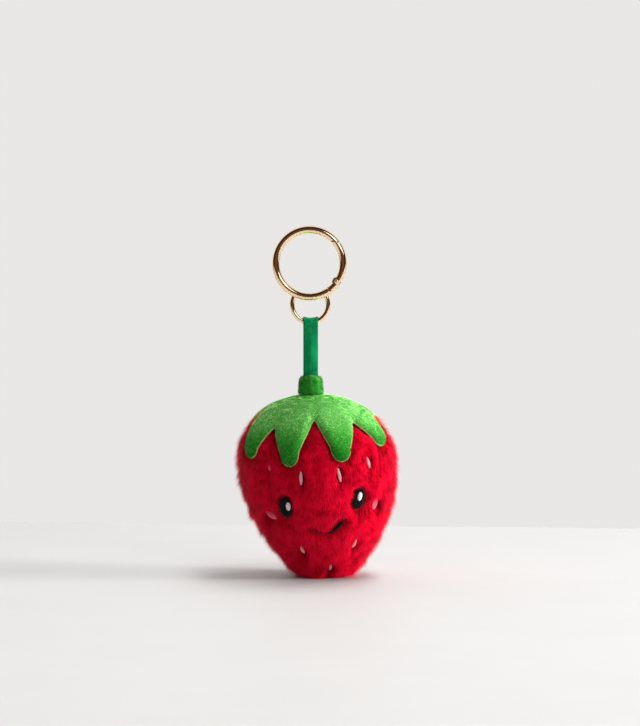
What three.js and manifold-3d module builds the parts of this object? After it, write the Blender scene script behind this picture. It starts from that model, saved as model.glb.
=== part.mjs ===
// A plush strawberry keychain: a spring-gate ring with a cast loop, a folded ribbon, and a stuffed
// strawberry with a eight-leaf calyx and an embroidered face. Millimetres, +Z up, the face looks along -Y.
// The origin is the top of the ring's inside, where a hook or a bag's ring holds it up.

import * as THREE from 'three';
import { mergeVertices } from 'three/addons/utils/BufferGeometryUtils.js';
import Module from 'manifold-3d';

const wasm = await Module();
wasm.setup();

// Clearances
const GAP = 0.3; // between neighbouring solids

// Ring casting
const WIRE_R = 1.75;
const RING_R = 14.75; // to the middle of the wire
const RING_INNER_R = RING_R - WIRE_R;
const LOOP_WIRE_R = 1.15;
const LOOP_R = 7.88;
const LOOP_X = 0.3;
const LOOP_DROP = 18.17; // from the ring's centre down to the loop's centre

// Gate
const RIVET_R = 0.5;
const RIVET_HOLE_R = 0.75;
const RIVET_ANGLE = -34; // degrees
const RIVET_AT = polar(14.35, RIVET_ANGLE);
const KNUCKLE_R = 1.95;
const KNUCKLE_HALF_WIDTH = 1.4;
const TAIL_R = 4.6; // the gate's tail ends on an arc about the rivet
const NOSE_INNER = polar(RING_INNER_R, 50);
const NOSE_OUTER = polar(RING_R + WIRE_R, 33.5);
const CHANNEL_WIDTH = 2.2;
const CHANNEL_OUTER_R = 15.95;
const CHANNEL_END = 5; // degrees
const TANG_WIDTH = CHANNEL_WIDTH - 2 * GAP;
const TANG_INNER_R = 13.2;
const TANG_END_R = 1.3;
const TANG_FROM = -60; // degrees
const CUTTER_DEPTH = 8; // deeper than any metal part
const SPRING_WIRE_R = 0.16;
const SPRING_R = 0.62;
const SPRING_ARC_R = RING_R + 0.15;
const SPRING_TURNS = 9;
const SPRING_FROM = -27; // degrees
const SPRING_TO = 3.4;

// Ribbon
const RIBBON_WIDTH = 6.5;
const RIBBON_X = 0.5;
const PLY = 0.5;
const STRAP_HALF = 0.6; // half the thickness of the two plies together
const FOLD_Z = -38.63; // the fold's axis, which the ribbon swings on
const FOLD_INNER_R = 1.85;
const PLIES_MEET_Z = -44.2;
const TWIST_Z = -50;
const MOUTH_Z = -61.6; // the plush swings about this level

// Stem
const STEM_R = 5;
const STEM_WALL = 0.9;
const STEM_TOP_Z = MOUTH_Z - GAP;
const STEM_BOTTOM_Z = -70.3;
const TAIL_END_Z = -66.5;

// Strawberry body: half an ellipse above its widest level and a rounded taper below
const BASE_Z = -151.07;
const WIDEST_UP = 53; // above the base
const DOME = 23.9;
const BODY_R = 32.6;
const BASE_R = 9.5;
const TAPER_POWER = 2.2;
const DEPTH = 0.87; // of the width
const CREST_X = 2.4;
const BASE_X = 7.1; // the body leans over to here
const LEAN_POWER = 1.5;
const CLOTH = 1.2;
const TOP_OPENING_R = 4.5;
const PANEL_UP = CLOTH + GAP;

// Calyx. Its edge goes from leaf tip to notch to leaf tip, by degrees round and mm above the base.
const CALYX_HOLE_R = 1.7;
const CALYX_CLEAR = 0.9; // both it and the body are faceted
const LINING = 0.6;
const CALYX_THICKNESS = 1.5;
const TIP_ROUNDNESS = 0.2;
const CALYX_EDGE = [
  { around: -57, up: 54 },
  { around: -38.5, up: 66.4 },
  { around: -20.5, up: 51.5 },
  { around: -1, up: 69.6 },
  { around: 18.7, up: 53.6 },
  { around: 38.5, up: 68.6 },
  { around: 59.5, up: 58.8 },
  { around: 86, up: 75.4 },
  { around: 125, up: 57 },
  { around: 144, up: 70 },
  { around: 162, up: 54 },
  { around: 181, up: 70 },
  { around: 200, up: 53 },
  { around: 218, up: 70 },
  { around: 236, up: 56 },
  { around: 278, up: 75.6 },
];

// Embroidery, by degrees round from the front and mm above the base
const THREAD = 0.6; // half the thickness of a stitched patch
const EYES = {
  left: { around: -29.5, up: 33.1, wide: 2.9, high: 4.6, tilt: 4 },
  right: { around: 33.7, up: 36.8, wide: 3.3, high: 4.6, tilt: 6 },
};
const HIGHLIGHTS = {
  left: { around: -25.7, up: 33.9, wide: 1.1, high: 2, tilt: 4, over: 2 * THREAD },
  right: { around: 33.6, up: 38, wide: 1.2, high: 2, tilt: 6, over: 2 * THREAD },
};
const CHEEKS = {
  left: { around: -49, up: 28.8, wide: 3, high: 1.8, tilt: -14 },
  right: { around: 53.5, up: 33.6, wide: 2.2, high: 2.7, tilt: 8 },
};
const SMILE = [
  { around: -12, up: 25.6 },
  { around: -4, up: 23.1 },
  { around: 5, up: 22.4 },
  { around: 13, up: 24.1 },
  { around: 18.5, up: 27.3 },
];
const SEEDS = {
  front_1: { around: -12.7, up: 46.2, tilt: 0 },
  front_2: { around: 16.6, up: 47.5, tilt: -14 },
  front_3: { around: 42.5, up: 52.2, tilt: -18 },
  front_4: { around: -39, up: 50.2, tilt: 0 },
  front_5: { around: -25, up: 14, tilt: 14 },
  front_6: { around: 36.3, up: 16.9, tilt: -10 },
  front_7: { around: 9.6, up: 5.8, tilt: 0 },
  back_1: { around: 120, up: 44, tilt: 8 },
  back_2: { around: 158, up: 36, tilt: 0 },
  back_3: { around: 200, up: 46, tilt: -6 },
  back_4: { around: 240, up: 36, tilt: -8 },
  back_5: { around: 150, up: 17, tilt: 6 },
  back_6: { around: 212, up: 20, tilt: -6 },
};

const group = new THREE.Group();

function polar(radius, degrees) {
  const angle = THREE.MathUtils.degToRad(degrees);
  return new THREE.Vector2(radius * Math.cos(angle), radius * Math.sin(angle));
}

function add(name, geometry, finish) {
  const mesh = new THREE.Mesh(geometry, new THREE.MeshStandardMaterial(finish));
  mesh.name = name;
  group.add(mesh);
  return mesh;
}

// Booleans

function toSolid(geometry) {
  const plain = geometry.clone();
  plain.deleteAttribute('normal');
  plain.deleteAttribute('uv');
  const merged = mergeVertices(plain, 1e-5);
  return new wasm.Manifold(
    new wasm.Mesh({
      numProp: 3,
      vertProperties: new Float32Array(merged.attributes.position.array),
      triVerts: new Uint32Array(merged.index.array),
    }),
  );
}

function toGeometry(solid) {
  const mesh = solid.getMesh();
  const geometry = new THREE.BufferGeometry();
  geometry.setAttribute('position', new THREE.BufferAttribute(new Float32Array(mesh.vertProperties), 3));
  geometry.setIndex(new THREE.BufferAttribute(new Uint32Array(mesh.triVerts), 1));
  geometry.computeVertexNormals();
  return geometry;
}

// Ring and gate. They are drawn in a plane about the ring's centre, x to the right and y up, and stood up
// with stand(), which turns the drawing's front towards -Y.

function stand(solid) {
  const geometry = toGeometry(solid);
  geometry.rotateX(Math.PI / 2);
  geometry.translate(0, 0, -RING_INNER_R);
  return geometry;
}

function plate(points, width) {
  const options = { depth: width, bevelEnabled: false, curveSegments: 12 };
  return toSolid(new THREE.ExtrudeGeometry(new THREE.Shape(points), options).translate(0, 0, -width / 2));
}

function disc(centre, radius, width, segments) {
  const geometry = new THREE.CylinderGeometry(radius, radius, width, segments);
  geometry.rotateX(Math.PI / 2);
  return toSolid(geometry.translate(centre.x, centre.y, 0));
}

function sector(innerRadius, outerRadius, from, to, width) {
  const steps = 12;
  const at = (step) => from + ((to - from) * step) / steps;
  const outer = Array.from({ length: steps + 1 }, (_, i) => polar(outerRadius, at(i)));
  const inner = Array.from({ length: steps + 1 }, (_, i) => polar(innerRadius, at(steps - i)));
  return plate([...outer, ...inner], width);
}

// Everything on the gate's side of the nose joint, down to the rivet. shift moves the joint's plane.
function gateSide(shift) {
  const along = NOSE_OUTER.clone().sub(NOSE_INNER).normalize();
  const across = new THREE.Vector2(-along.y, along.x).multiplyScalar(shift);
  const inner = NOSE_INNER.clone().addScaledVector(along, -3).add(across);
  const outer = NOSE_OUTER.clone().addScaledVector(along, 4).add(across);
  const nearRivet = [0.5, 1.5].map((share) => polar(RING_R * share, RIVET_ANGLE));
  return plate([inner, ...nearRivet, outer], CUTTER_DEPTH);
}

function ringWire() {
  return toSolid(new THREE.TorusGeometry(RING_R, WIRE_R, 14, 60));
}

function ringFrame() {
  const centre = new THREE.Vector2(LOOP_X, -LOOP_DROP);
  const loop = toSolid(new THREE.TorusGeometry(LOOP_R, LOOP_WIRE_R, 10, 40).translate(centre.x, centre.y, 0));
  const legs = loop.subtract(disc(new THREE.Vector2(), RING_R, CUTTER_DEPTH, 48));
  const opening = gateSide(GAP / 2).add(disc(RIVET_AT, TAIL_R + GAP, CUTTER_DEPTH, 32));
  const tang = sector(TANG_INNER_R, CHANNEL_OUTER_R - GAP, TANG_FROM, RIVET_ANGLE, TANG_WIDTH)
    .add(disc(RIVET_AT, TANG_END_R, TANG_WIDTH, 20))
    .subtract(disc(RIVET_AT, RIVET_HOLE_R, CUTTER_DEPTH, 16));
  return ringWire().subtract(opening).add(legs).add(tang);
}

function gate() {
  const body = ringWire().intersect(gateSide(-GAP / 2).add(disc(RIVET_AT, TAIL_R, CUTTER_DEPTH, 32)));
  const knuckle = disc(RIVET_AT, KNUCKLE_R, 2 * KNUCKLE_HALF_WIDTH, 24);
  const channel = sector(RING_INNER_R - 2, CHANNEL_OUTER_R, TANG_FROM, CHANNEL_END, CHANNEL_WIDTH);
  return body.add(knuckle).subtract(channel).subtract(disc(RIVET_AT, RIVET_HOLE_R, CUTTER_DEPTH, 16));
}

function rivet() {
  const half = WIRE_R + 0.15;
  const side = [
    [0, -half],
    [0.6 * RIVET_R, -half],
    [RIVET_R, 0.15 - half],
    [RIVET_R, half - 0.15],
    [0.6 * RIVET_R, half],
    [0, half],
  ];
  return new THREE.LatheGeometry(side.map(([x, y]) => new THREE.Vector2(x, y)), 16);
}

// A coil round an arc of the ring, in the drawing's plane
class GateSpring extends THREE.Curve {
  getPoint(t) {
    const middle = polar(SPRING_ARC_R, SPRING_FROM + (SPRING_TO - SPRING_FROM) * t);
    const out = middle.clone().normalize();
    const turn = 2 * Math.PI * SPRING_TURNS * t;
    middle.addScaledVector(out, SPRING_R * Math.cos(turn));
    return new THREE.Vector3(middle.x, middle.y, SPRING_R * Math.sin(turn));
  }
}

function round(radius, sides) {
  const points = Array.from({ length: sides }, (_, i) => polar(radius, (360 * i) / sides));
  return new THREE.Shape(points);
}

function wire(curve, radius, sides, steps) {
  return new THREE.ExtrudeGeometry(round(radius, sides), { steps, extrudePath: curve });
}

// Ribbon. Its section is drawn with x as the object's Y and y as its Z, and runs along the object's X.

function acrossWidth(shape) {
  const geometry = new THREE.ExtrudeGeometry(shape, {
    depth: RIBBON_WIDTH,
    bevelEnabled: false,
    curveSegments: 10,
  });
  const [x, y, z] = [new THREE.Vector3(1, 0, 0), new THREE.Vector3(0, 1, 0), new THREE.Vector3(0, 0, 1)];
  geometry.applyMatrix4(new THREE.Matrix4().makeBasis(y, z, x));
  return geometry.translate(RIBBON_X - RIBBON_WIDTH / 2, 0, 0);
}

// One side of the fold, from its foot up to level with the wire, over the wire and down the other side
function foldOutline(path, radius, foot, half) {
  const bend = 0.45 * (FOLD_Z - foot);
  path.moveTo(half, foot);
  path.bezierCurveTo(half, foot + bend, radius, FOLD_Z - bend, radius, FOLD_Z);
  path.absarc(0, FOLD_Z, radius, 0, Math.PI, false);
  path.bezierCurveTo(-radius, FOLD_Z - bend, -half, foot + bend, -half, foot);
}

function ribbonFold() {
  const shape = new THREE.Shape();
  foldOutline(shape, FOLD_INNER_R + PLY, PLIES_MEET_Z - 1, STRAP_HALF);
  shape.lineTo(-STRAP_HALF, TWIST_Z + GAP / 2);
  shape.lineTo(STRAP_HALF, TWIST_Z + GAP / 2);
  const eye = new THREE.Path();
  foldOutline(eye, FOLD_INNER_R, PLIES_MEET_Z, 0);
  shape.holes.push(eye);
  return acrossWidth(shape);
}

function strap(top, bottom) {
  const corners = [
    [-STRAP_HALF, bottom],
    [STRAP_HALF, bottom],
    [STRAP_HALF, top],
    [-STRAP_HALF, top],
  ];
  return acrossWidth(new THREE.Shape(corners.map(([x, y]) => new THREE.Vector2(x, y))));
}

// Stem

function stemCover() {
  const inside = STEM_R - STEM_WALL;
  const side = [
    [inside, STEM_BOTTOM_Z],
    [STEM_R, STEM_BOTTOM_Z],
    [STEM_R, STEM_TOP_Z - 2.4],
    [0.92 * STEM_R, STEM_TOP_Z - 1.2],
    [0.74 * STEM_R, STEM_TOP_Z - 0.4],
    [0.4 * STEM_R, STEM_TOP_Z - 0.05],
    [0, STEM_TOP_Z],
    [0, STEM_TOP_Z - STEM_WALL],
    [0.6 * inside, STEM_TOP_Z - STEM_WALL - 0.1],
    [inside, STEM_TOP_Z - 3],
    [inside, STEM_BOTTOM_Z],
  ];
  const shell = new THREE.LatheGeometry(side.map(([x, y]) => new THREE.Vector2(x, y)), 28);
  shell.rotateX(Math.PI / 2);
  const mouth = new THREE.BoxGeometry(RIBBON_WIDTH + 2 * GAP, 2, 6).translate(0, 0, STEM_TOP_Z);
  return toGeometry(toSolid(shell).subtract(toSolid(mouth))).translate(RIBBON_X, 0, 0);
}

function stemStuffing() {
  const top = TAIL_END_Z - GAP;
  const bottom = STEM_BOTTOM_Z + GAP;
  const radius = STEM_R - STEM_WALL - GAP;
  const plug = new THREE.CylinderGeometry(radius, radius, top - bottom, 24);
  return plug.rotateX(Math.PI / 2).translate(RIBBON_X, 0, (top + bottom) / 2);
}

// Body. A level on it is a number: 0 where it is widest, PI / 2 at the crest and negative below.

const BASE_LEVEL = -WIDEST_UP / DOME;

function levelAt(up) {
  const rise = (up - WIDEST_UP) / DOME;
  return rise > 0 ? Math.asin(Math.min(rise, 1)) : rise;
}

function levelOfRadius(radius) {
  return Math.acos(radius / BODY_R);
}

// The radius and height at a level, and how fast they change with it
function profile(level) {
  if (level > 0) {
    const [sin, cos] = [Math.sin(level), Math.cos(level)];
    return { r: BODY_R * cos, up: WIDEST_UP + DOME * sin, dr: -BODY_R * sin, dup: DOME * cos };
  }
  const part = level / BASE_LEVEL;
  const span = BODY_R - BASE_R;
  const slope = (-span * TAPER_POWER * part ** (TAPER_POWER - 1)) / BASE_LEVEL;
  const r = BASE_R + span * (1 - part ** TAPER_POWER);
  return { r, up: WIDEST_UP + DOME * level, dr: slope, dup: DOME };
}

// The body's middle at a height, and how fast it changes with it
function middle(up) {
  const height = WIDEST_UP + DOME;
  const below = 1 - up / height;
  const reach = BASE_X - CREST_X;
  const dx = (-reach * LEAN_POWER * below ** (LEAN_POWER - 1)) / height;
  return { x: CREST_X + reach * below ** LEAN_POWER, dx };
}

// A point that far outside the cloth, and the directions there
function skin(around, level, offset = 0) {
  const angle = THREE.MathUtils.degToRad(around);
  const [sin, cos] = [Math.sin(angle), Math.cos(angle)];
  const { r, up, dr, dup } = profile(level);
  const right = new THREE.Vector3(cos, DEPTH * sin, 0).normalize();
  const { x, dx } = middle(up);
  const rising = new THREE.Vector3(dr * sin + dx * dup, -DEPTH * dr * cos, dup);
  const out = new THREE.Vector3().crossVectors(right, rising).normalize();
  const point = new THREE.Vector3(x + r * sin, -DEPTH * r * cos, BASE_Z + up);
  return { point: point.addScaledVector(out, offset), out, right };
}

// A closed sheet between two layers of a grid, at(u, v, layer), with u round the body and v upwards.
// A closed ring of columns joins up where u is 1.
function sheet(at, columns, rows, isRing) {
  const across = isRing ? columns : columns + 1;
  const positions = [];
  for (const layer of [0, 1]) {
    for (let j = 0; j <= rows; j++) {
      for (let i = 0; i < across; i++) {
        positions.push(...at(i / columns, j / rows, layer).toArray());
      }
    }
  }
  const id = (i, j, layer) => (layer * (rows + 1) + j) * across + (i % across);
  const index = [];
  const quad = (a, b, c, d) => index.push(a, b, c, a, c, d);
  for (let j = 0; j < rows; j++) {
    for (let i = 0; i < columns; i++) {
      quad(id(i, j, 1), id(i + 1, j, 1), id(i + 1, j + 1, 1), id(i, j + 1, 1));
      quad(id(i, j, 0), id(i, j + 1, 0), id(i + 1, j + 1, 0), id(i + 1, j, 0));
    }
  }
  const rim = (i, j, k, l) => quad(id(i, j, 1), id(i, j, 0), id(k, l, 0), id(k, l, 1));
  for (let i = 0; i < columns; i++) {
    rim(i, 0, i + 1, 0);
    rim(i + 1, rows, i, rows);
  }
  for (let j = 0; j < rows && !isRing; j++) {
    rim(columns, j, columns, j + 1);
    rim(0, j + 1, 0, j);
  }
  return closed(positions, index);
}

// A solid through rings of as many points each, from the bottom up, with flat ends
function loft(rings) {
  const count = rings[0].length;
  const positions = rings.flat().flatMap((point) => point.toArray());
  const index = [];
  for (let j = 0; j + 1 < rings.length; j++) {
    for (let i = 0; i < count; i++) {
      const [a, b] = [j * count + i, j * count + ((i + 1) % count)];
      index.push(a, b, b + count, a, b + count, a + count);
    }
  }
  const top = (rings.length - 1) * count;
  for (let i = 1; i + 1 < count; i++) {
    index.push(0, i + 1, i, top, top + i, top + i + 1);
  }
  return closed(positions, index);
}

function closed(positions, index) {
  const geometry = new THREE.BufferGeometry();
  geometry.setAttribute('position', new THREE.Float32BufferAttribute(positions, 3));
  geometry.setIndex(index);
  geometry.computeVertexNormals();
  return geometry;
}

// Half the body's cloth, from the base up to the small opening under the calyx
function bodyPanel(facing) {
  const from = levelAt(PANEL_UP);
  const to = levelOfRadius(TOP_OPENING_R);
  const at = (u, v, layer) => {
    const level = from + (to - from) * v;
    return skin(facing - 90 + 180 * u, level, (layer - 1) * CLOTH).point;
  };
  const shift = facing === 0 ? -GAP / 2 : GAP / 2;
  return sheet(at, 14, 12, false).translate(0, shift, 0);
}

function bodyStuffing() {
  const [rows, columns] = [11, 24];
  const from = levelAt(PANEL_UP + 1);
  const to = levelOfRadius(TOP_OPENING_R);
  const rings = [];
  for (let j = 0; j <= rows; j++) {
    const level = from + ((to - from) * j) / rows;
    const at = (i) => skin((360 * i) / columns, level, -CLOTH - GAP).point;
    rings.push(Array.from({ length: columns }, (_, i) => at(i)));
  }
  return loft(rings);
}

function basePanel() {
  const ring = (height) =>
    Array.from({ length: 32 }, (_, i) => {
      const around = polar(BASE_R, (360 * i) / 32);
      return new THREE.Vector3(BASE_X + around.x, DEPTH * around.y, BASE_Z + height);
    });
  return loft([ring(0), ring(CLOTH)]);
}

// Where the calyx's edge is, for a share u of the way round: rounded at each tip and pointed in a notch
function calyxEdge(u) {
  const place = u * CALYX_EDGE.length;
  const first = Math.min(Math.floor(place + 1e-9), CALYX_EDGE.length - 1);
  const from = CALYX_EDGE[first];
  const to = CALYX_EDGE[first + 1] ?? { ...CALYX_EDGE[0], around: CALYX_EDGE[0].around + 360 };
  const [tip, notch, side] = first % 2 ? [to, from, 1 - place + first] : [from, to, place - first];
  const rise = Math.hypot(side, TIP_ROUNDNESS) - TIP_ROUNDNESS;
  const full = Math.hypot(1, TIP_ROUNDNESS) - TIP_ROUNDNESS;
  const around = from.around + (to.around - from.around) * (place - first);
  return { around, level: levelAt(tip.up + ((notch.up - tip.up) * rise) / full) };
}

function calyxLayer(low, high) {
  const top = levelOfRadius(CALYX_HOLE_R);
  const at = (u, v, layer) => {
    const { around, level } = calyxEdge(u);
    return skin(around, level + (top - level) * v, layer ? high : low).point;
  };
  return sheet(at, 4 * CALYX_EDGE.length, 8, true);
}

// A stitched oval that lies on the cloth
function addPatch(name, { around, up, wide, high, tilt, over = 0 }, finish) {
  const { point, out, right } = skin(around, levelAt(up), GAP + THREAD + (over ? over + GAP : 0));
  const geometry = new THREE.SphereGeometry(1, 12, 6).scale(wide, high, THREAD);
  const patch = add(name, geometry, finish);
  const rising = new THREE.Vector3().crossVectors(out, right);
  patch.quaternion.setFromRotationMatrix(new THREE.Matrix4().makeBasis(right, rising, out));
  patch.rotateZ(-THREE.MathUtils.degToRad(tilt));
  patch.position.copy(point);
}

function mouth() {
  const radius = 0.45;
  const points = SMILE.map(({ around, up }) => skin(around, levelAt(up), GAP + radius).point);
  return wire(new THREE.CatmullRomCurve3(points), radius, 8, 16);
}

const GOLD = { color: 0xdcb47c, roughness: 0.12, metalness: 1 };
const STEEL = { color: 0xb9b4a8, roughness: 0.3, metalness: 1 };
const RIBBON = { color: 0x007a4c, roughness: 0.5, metalness: 0 };
const GREEN_PLUSH = { color: 0x2f9a34, roughness: 0.9, metalness: 0 };
const LIGHT_GREEN = { color: 0x7fb84a, roughness: 0.8, metalness: 0 };
const RED_PLUSH = { color: 0xb00418, roughness: 0.9, metalness: 0 };
const STUFFING = { color: 0xe8e6e0, roughness: 1, metalness: 0 };
const BLACK_THREAD = { color: 0x0c0a0c, roughness: 0.5, metalness: 0 };
const WHITE_THREAD = { color: 0xe9d3da, roughness: 0.5, metalness: 0 };
const PINK_THREAD = { color: 0xe0587a, roughness: 0.5, metalness: 0 };
const PALE_PINK_THREAD = { color: 0xecaaaa, roughness: 0.5, metalness: 0 };

add('ring_frame', stand(ringFrame()), GOLD);
add('gate', stand(gate()), GOLD);
add('gate_rivet', rivet().translate(RIVET_AT.x, 0, RIVET_AT.y - RING_INNER_R), GOLD);
const spring = wire(new GateSpring(), SPRING_WIRE_R, 6, 10 * SPRING_TURNS);
add('gate_spring', spring.rotateX(Math.PI / 2).translate(0, 0, -RING_INNER_R), STEEL);

add('ribbon_fold', ribbonFold(), RIBBON);
add('ribbon_strap', strap(TWIST_Z - GAP / 2, MOUTH_Z + 0.4), RIBBON);
add('ribbon_tail', strap(MOUTH_Z - GAP, TAIL_END_Z), RIBBON);

add('stem_cover', stemCover(), GREEN_PLUSH);
add('stem_stuffing', stemStuffing(), STUFFING);

add('body_front', bodyPanel(0), RED_PLUSH);
add('body_back', bodyPanel(180), RED_PLUSH);
add('body_base', basePanel(), RED_PLUSH);
add('body_stuffing', bodyStuffing(), STUFFING);

const liningTop = CALYX_CLEAR + LINING;
add('calyx_lining', calyxLayer(CALYX_CLEAR, liningTop), LIGHT_GREEN);
add('calyx_top', calyxLayer(liningTop + GAP, liningTop + GAP + CALYX_THICKNESS), GREEN_PLUSH);

for (const side of ['left', 'right']) {
  addPatch(`eye_${side}`, EYES[side], BLACK_THREAD);
  addPatch(`eye_highlight_${side}`, HIGHLIGHTS[side], WHITE_THREAD);
  addPatch(`cheek_${side}`, CHEEKS[side], PINK_THREAD);
}
add('mouth', mouth(), BLACK_THREAD);
for (const [place, seed] of Object.entries(SEEDS)) {
  addPatch(`seed_${place}`, { wide: 1.1, high: 2.7, ...seed }, PALE_PINK_THREAD);
}

export default group;
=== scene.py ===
"""Looks for a plush strawberry keychain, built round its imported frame. All sizes are in metres."""

import math

import bmesh
import bpy
import numpy as np
from bpy.props import FloatProperty, FloatVectorProperty, IntProperty, PointerProperty
from mathutils import Matrix, Vector


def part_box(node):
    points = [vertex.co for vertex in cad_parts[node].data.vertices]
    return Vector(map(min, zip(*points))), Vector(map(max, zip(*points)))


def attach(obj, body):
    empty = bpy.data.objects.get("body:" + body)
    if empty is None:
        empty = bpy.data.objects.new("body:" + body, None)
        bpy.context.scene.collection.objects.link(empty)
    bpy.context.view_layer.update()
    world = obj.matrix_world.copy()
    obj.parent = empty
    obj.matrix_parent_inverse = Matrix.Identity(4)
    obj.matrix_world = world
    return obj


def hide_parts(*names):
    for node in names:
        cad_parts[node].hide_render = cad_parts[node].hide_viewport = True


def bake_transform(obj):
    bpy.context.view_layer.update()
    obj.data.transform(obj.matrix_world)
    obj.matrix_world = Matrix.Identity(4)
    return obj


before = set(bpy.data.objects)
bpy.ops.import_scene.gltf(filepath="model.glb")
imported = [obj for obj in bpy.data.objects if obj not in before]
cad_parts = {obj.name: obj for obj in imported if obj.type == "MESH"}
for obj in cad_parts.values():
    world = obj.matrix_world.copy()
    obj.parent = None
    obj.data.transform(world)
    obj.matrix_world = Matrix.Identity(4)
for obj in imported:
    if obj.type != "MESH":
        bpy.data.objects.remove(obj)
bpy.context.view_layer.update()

bl_info = {
    "name": "Plush Strawberry Keychain",
    "version": (1, 0, 0),
    "blender": (4, 5, 0),
    "location": "View3D > Sidebar > Keychain",
    "description": "Plush fabric, stitches, ribbon and polished ring for the packed keychain",
    "category": "Add Mesh",
}

MM = 0.001


# ---- sizes from the frame


def centre(node):
    low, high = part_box(node)
    return (low + high) / 2


RING_LOW, RING_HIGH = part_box("ring_frame")
WIRE_R = RING_HIGH.z / 2
RING_R = -RING_LOW.x - WIRE_R
RING_CENTRE = Vector((0, 0, WIRE_R - RING_R))
RIVET = centre("gate_rivet")
RIVET_BEARING = math.degrees(math.atan2(RIVET.z - RING_CENTRE.z, RIVET.x - RING_CENTRE.x))
RING_GAP = 0.1 * MM
RIVET_HOLE_R = 0.6 * MM
TANG_CAP_R = 1.3 * MM
TONGUE_R = 1.1 * MM
LOOP_WIRE_R = 1.15 * MM
LOOP_R = 7.88 * MM
LOOP_CENTRE = Vector((0.3 * MM, 0, RING_LOW.z + LOOP_WIRE_R + LOOP_R))
NOSE_INNER, NOSE_OUTER = 50, 33.5  # degrees round the ring at which the nose joint leaves the wire
TAIL_REACH = 4.6 * MM
CHANNEL_HALF = 1.1 * MM
CHANNEL_OUTER = RING_R + 1.2 * MM
CHANNEL_END = 5

FOLD_LOW, FOLD_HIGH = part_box("ribbon_fold")
STRAP_LOW, STRAP_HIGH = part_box("ribbon_strap")
TAIL_LOW, TAIL_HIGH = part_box("ribbon_tail")
RIBBON_X = centre("ribbon_fold").x
RIBBON_HALF = (FOLD_HIGH.x - FOLD_LOW.x) / 2
RIBBON_END = STRAP_LOW.z + 0.9 * MM
FOLD_Z = FOLD_HIGH.z - 2.35 * MM  # the line that the fold swings about
FOLD_BEND_R = 1.68 * MM
RIBBON_BOW = 0.75 * MM

STEM_LOW, STEM_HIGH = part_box("stem_cover")
STEM_R = (STEM_HIGH.x - STEM_LOW.x) / 2

PANEL_LOW, PANEL_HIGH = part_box("body_front")
DISC_LOW, DISC_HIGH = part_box("body_base")
BASE_Z = DISC_LOW.z
BASE_X = centre("body_base").x
BASE_R = (DISC_HIGH.x - DISC_LOW.x) / 2
BODY_R = (PANEL_HIGH.x - PANEL_LOW.x) / 2
DEPTH = -PANEL_LOW.y / BODY_R
WIDEST_UP = 53 * MM
DOME = 23.9 * MM
TAPER_POWER = 2.2
CREST_X = 2.4 * MM
LEAN_POWER = 1.5
BASE_LEVEL = -WIDEST_UP / DOME

SEEDS = sorted(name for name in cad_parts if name.startswith("seed_"))
HIDDEN_SEED = "seed_front_4"  # the pile nearly covers it

# Painted light: the velour's colour grows lighter above this height, standing in for the overhead light on
# the calyx's crown
CROWN_LIGHT_FROM, CROWN_LIGHT_OVER = 65 * MM, 13 * MM  # where the velour starts to lighten, and over what height
THREAD_TWIST = 0.45 * MM


# ---- the body's surface


def level_at(up):
    """The level of a height above the base: 0 where the body is widest, pi / 2 at the crest."""
    rise = (np.asarray(up, float) - WIDEST_UP) / DOME
    return np.where(rise > 0, np.arcsin(np.clip(rise, 0, 1)), rise)


def place(around, level):
    part = np.clip(level / BASE_LEVEL, 0, 1)
    taper = BASE_R + (BODY_R - BASE_R) * (1 - part**TAPER_POWER)
    radius = np.where(level > 0, BODY_R * np.cos(level), taper)
    up = WIDEST_UP + DOME * np.where(level > 0, np.sin(level), level)
    lean = np.clip(1 - up / (WIDEST_UP + DOME), 0, 1) ** LEAN_POWER
    x = CREST_X + (BASE_X - CREST_X) * lean + radius * np.sin(around)
    return np.stack([x, -DEPTH * radius * np.cos(around), BASE_Z + up], -1)


def skin(around, level, offset=0.0):
    """Points offset outside the cloth and their outward directions. around is in degrees from the front."""
    turn, level = np.broadcast_arrays(np.radians(around), np.asarray(level, float))
    step = 1e-4
    right = place(turn + step, level) - place(turn - step, level)
    rising = place(turn, level + step) - place(turn, level - step)
    out = np.cross(right, rising)
    out /= np.maximum(np.linalg.norm(out, axis=-1, keepdims=True), 1e-15)
    return place(turn, level) + out * np.asarray(offset)[..., None], out


def locate(point):
    """The degrees round and the level at which a point lies over the cloth."""
    target = np.array(point)
    around, up = 0.0, target[2] - BASE_Z
    for _ in range(12):
        at, out = skin(around, level_at(up))
        off = (target - at) @ out
        wanted = target - out * off
        lean = CREST_X + (BASE_X - CREST_X) * max(0, 1 - up / (WIDEST_UP + DOME)) ** LEAN_POWER
        around = math.degrees(math.atan2(wanted[0] - lean, -wanted[1] / DEPTH))
        up += 0.7 * (wanted[2] - at[2])
    return around, float(level_at(up))


# ---- meshes


def make_piece(name, verts, faces, material, smooth=True):
    mesh = bpy.data.meshes.new(name)
    mesh.from_pydata(np.asarray(verts).tolist(), [], [tuple(face) for face in faces])
    mesh.update()
    piece = bpy.data.objects.new(name, mesh)
    bpy.context.scene.collection.objects.link(piece)
    if material:
        mesh.materials.append(material)
    if smooth:
        mesh.shade_smooth()
    return piece


def tube_faces(rings, around, closed_along=False):
    """Quads for rings of points joined in order, each ring closed."""
    faces = []
    for j in range(rings if closed_along else rings - 1):
        for i in range(around):
            a, b = j * around + i, j * around + (i + 1) % around
            c, d = ((j + 1) % rings) * around + (i + 1) % around, ((j + 1) % rings) * around + i
            faces.append((a, b, c, d))
    return faces


def lofted(rings):
    """Vertices and faces of a closed solid through rings of points, with a fan at each end."""
    rings = np.asarray(rings)
    count, around = rings.shape[:2]
    verts = np.concatenate([rings.reshape(-1, 3), rings[[0, -1]].mean(axis=1)])
    faces = tube_faces(count, around)
    last = (count - 1) * around
    for i in range(around):
        after = (i + 1) % around
        faces.append((count * around, after, i))
        faces.append((count * around + 1, last + i, last + after))
    return verts, faces


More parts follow.
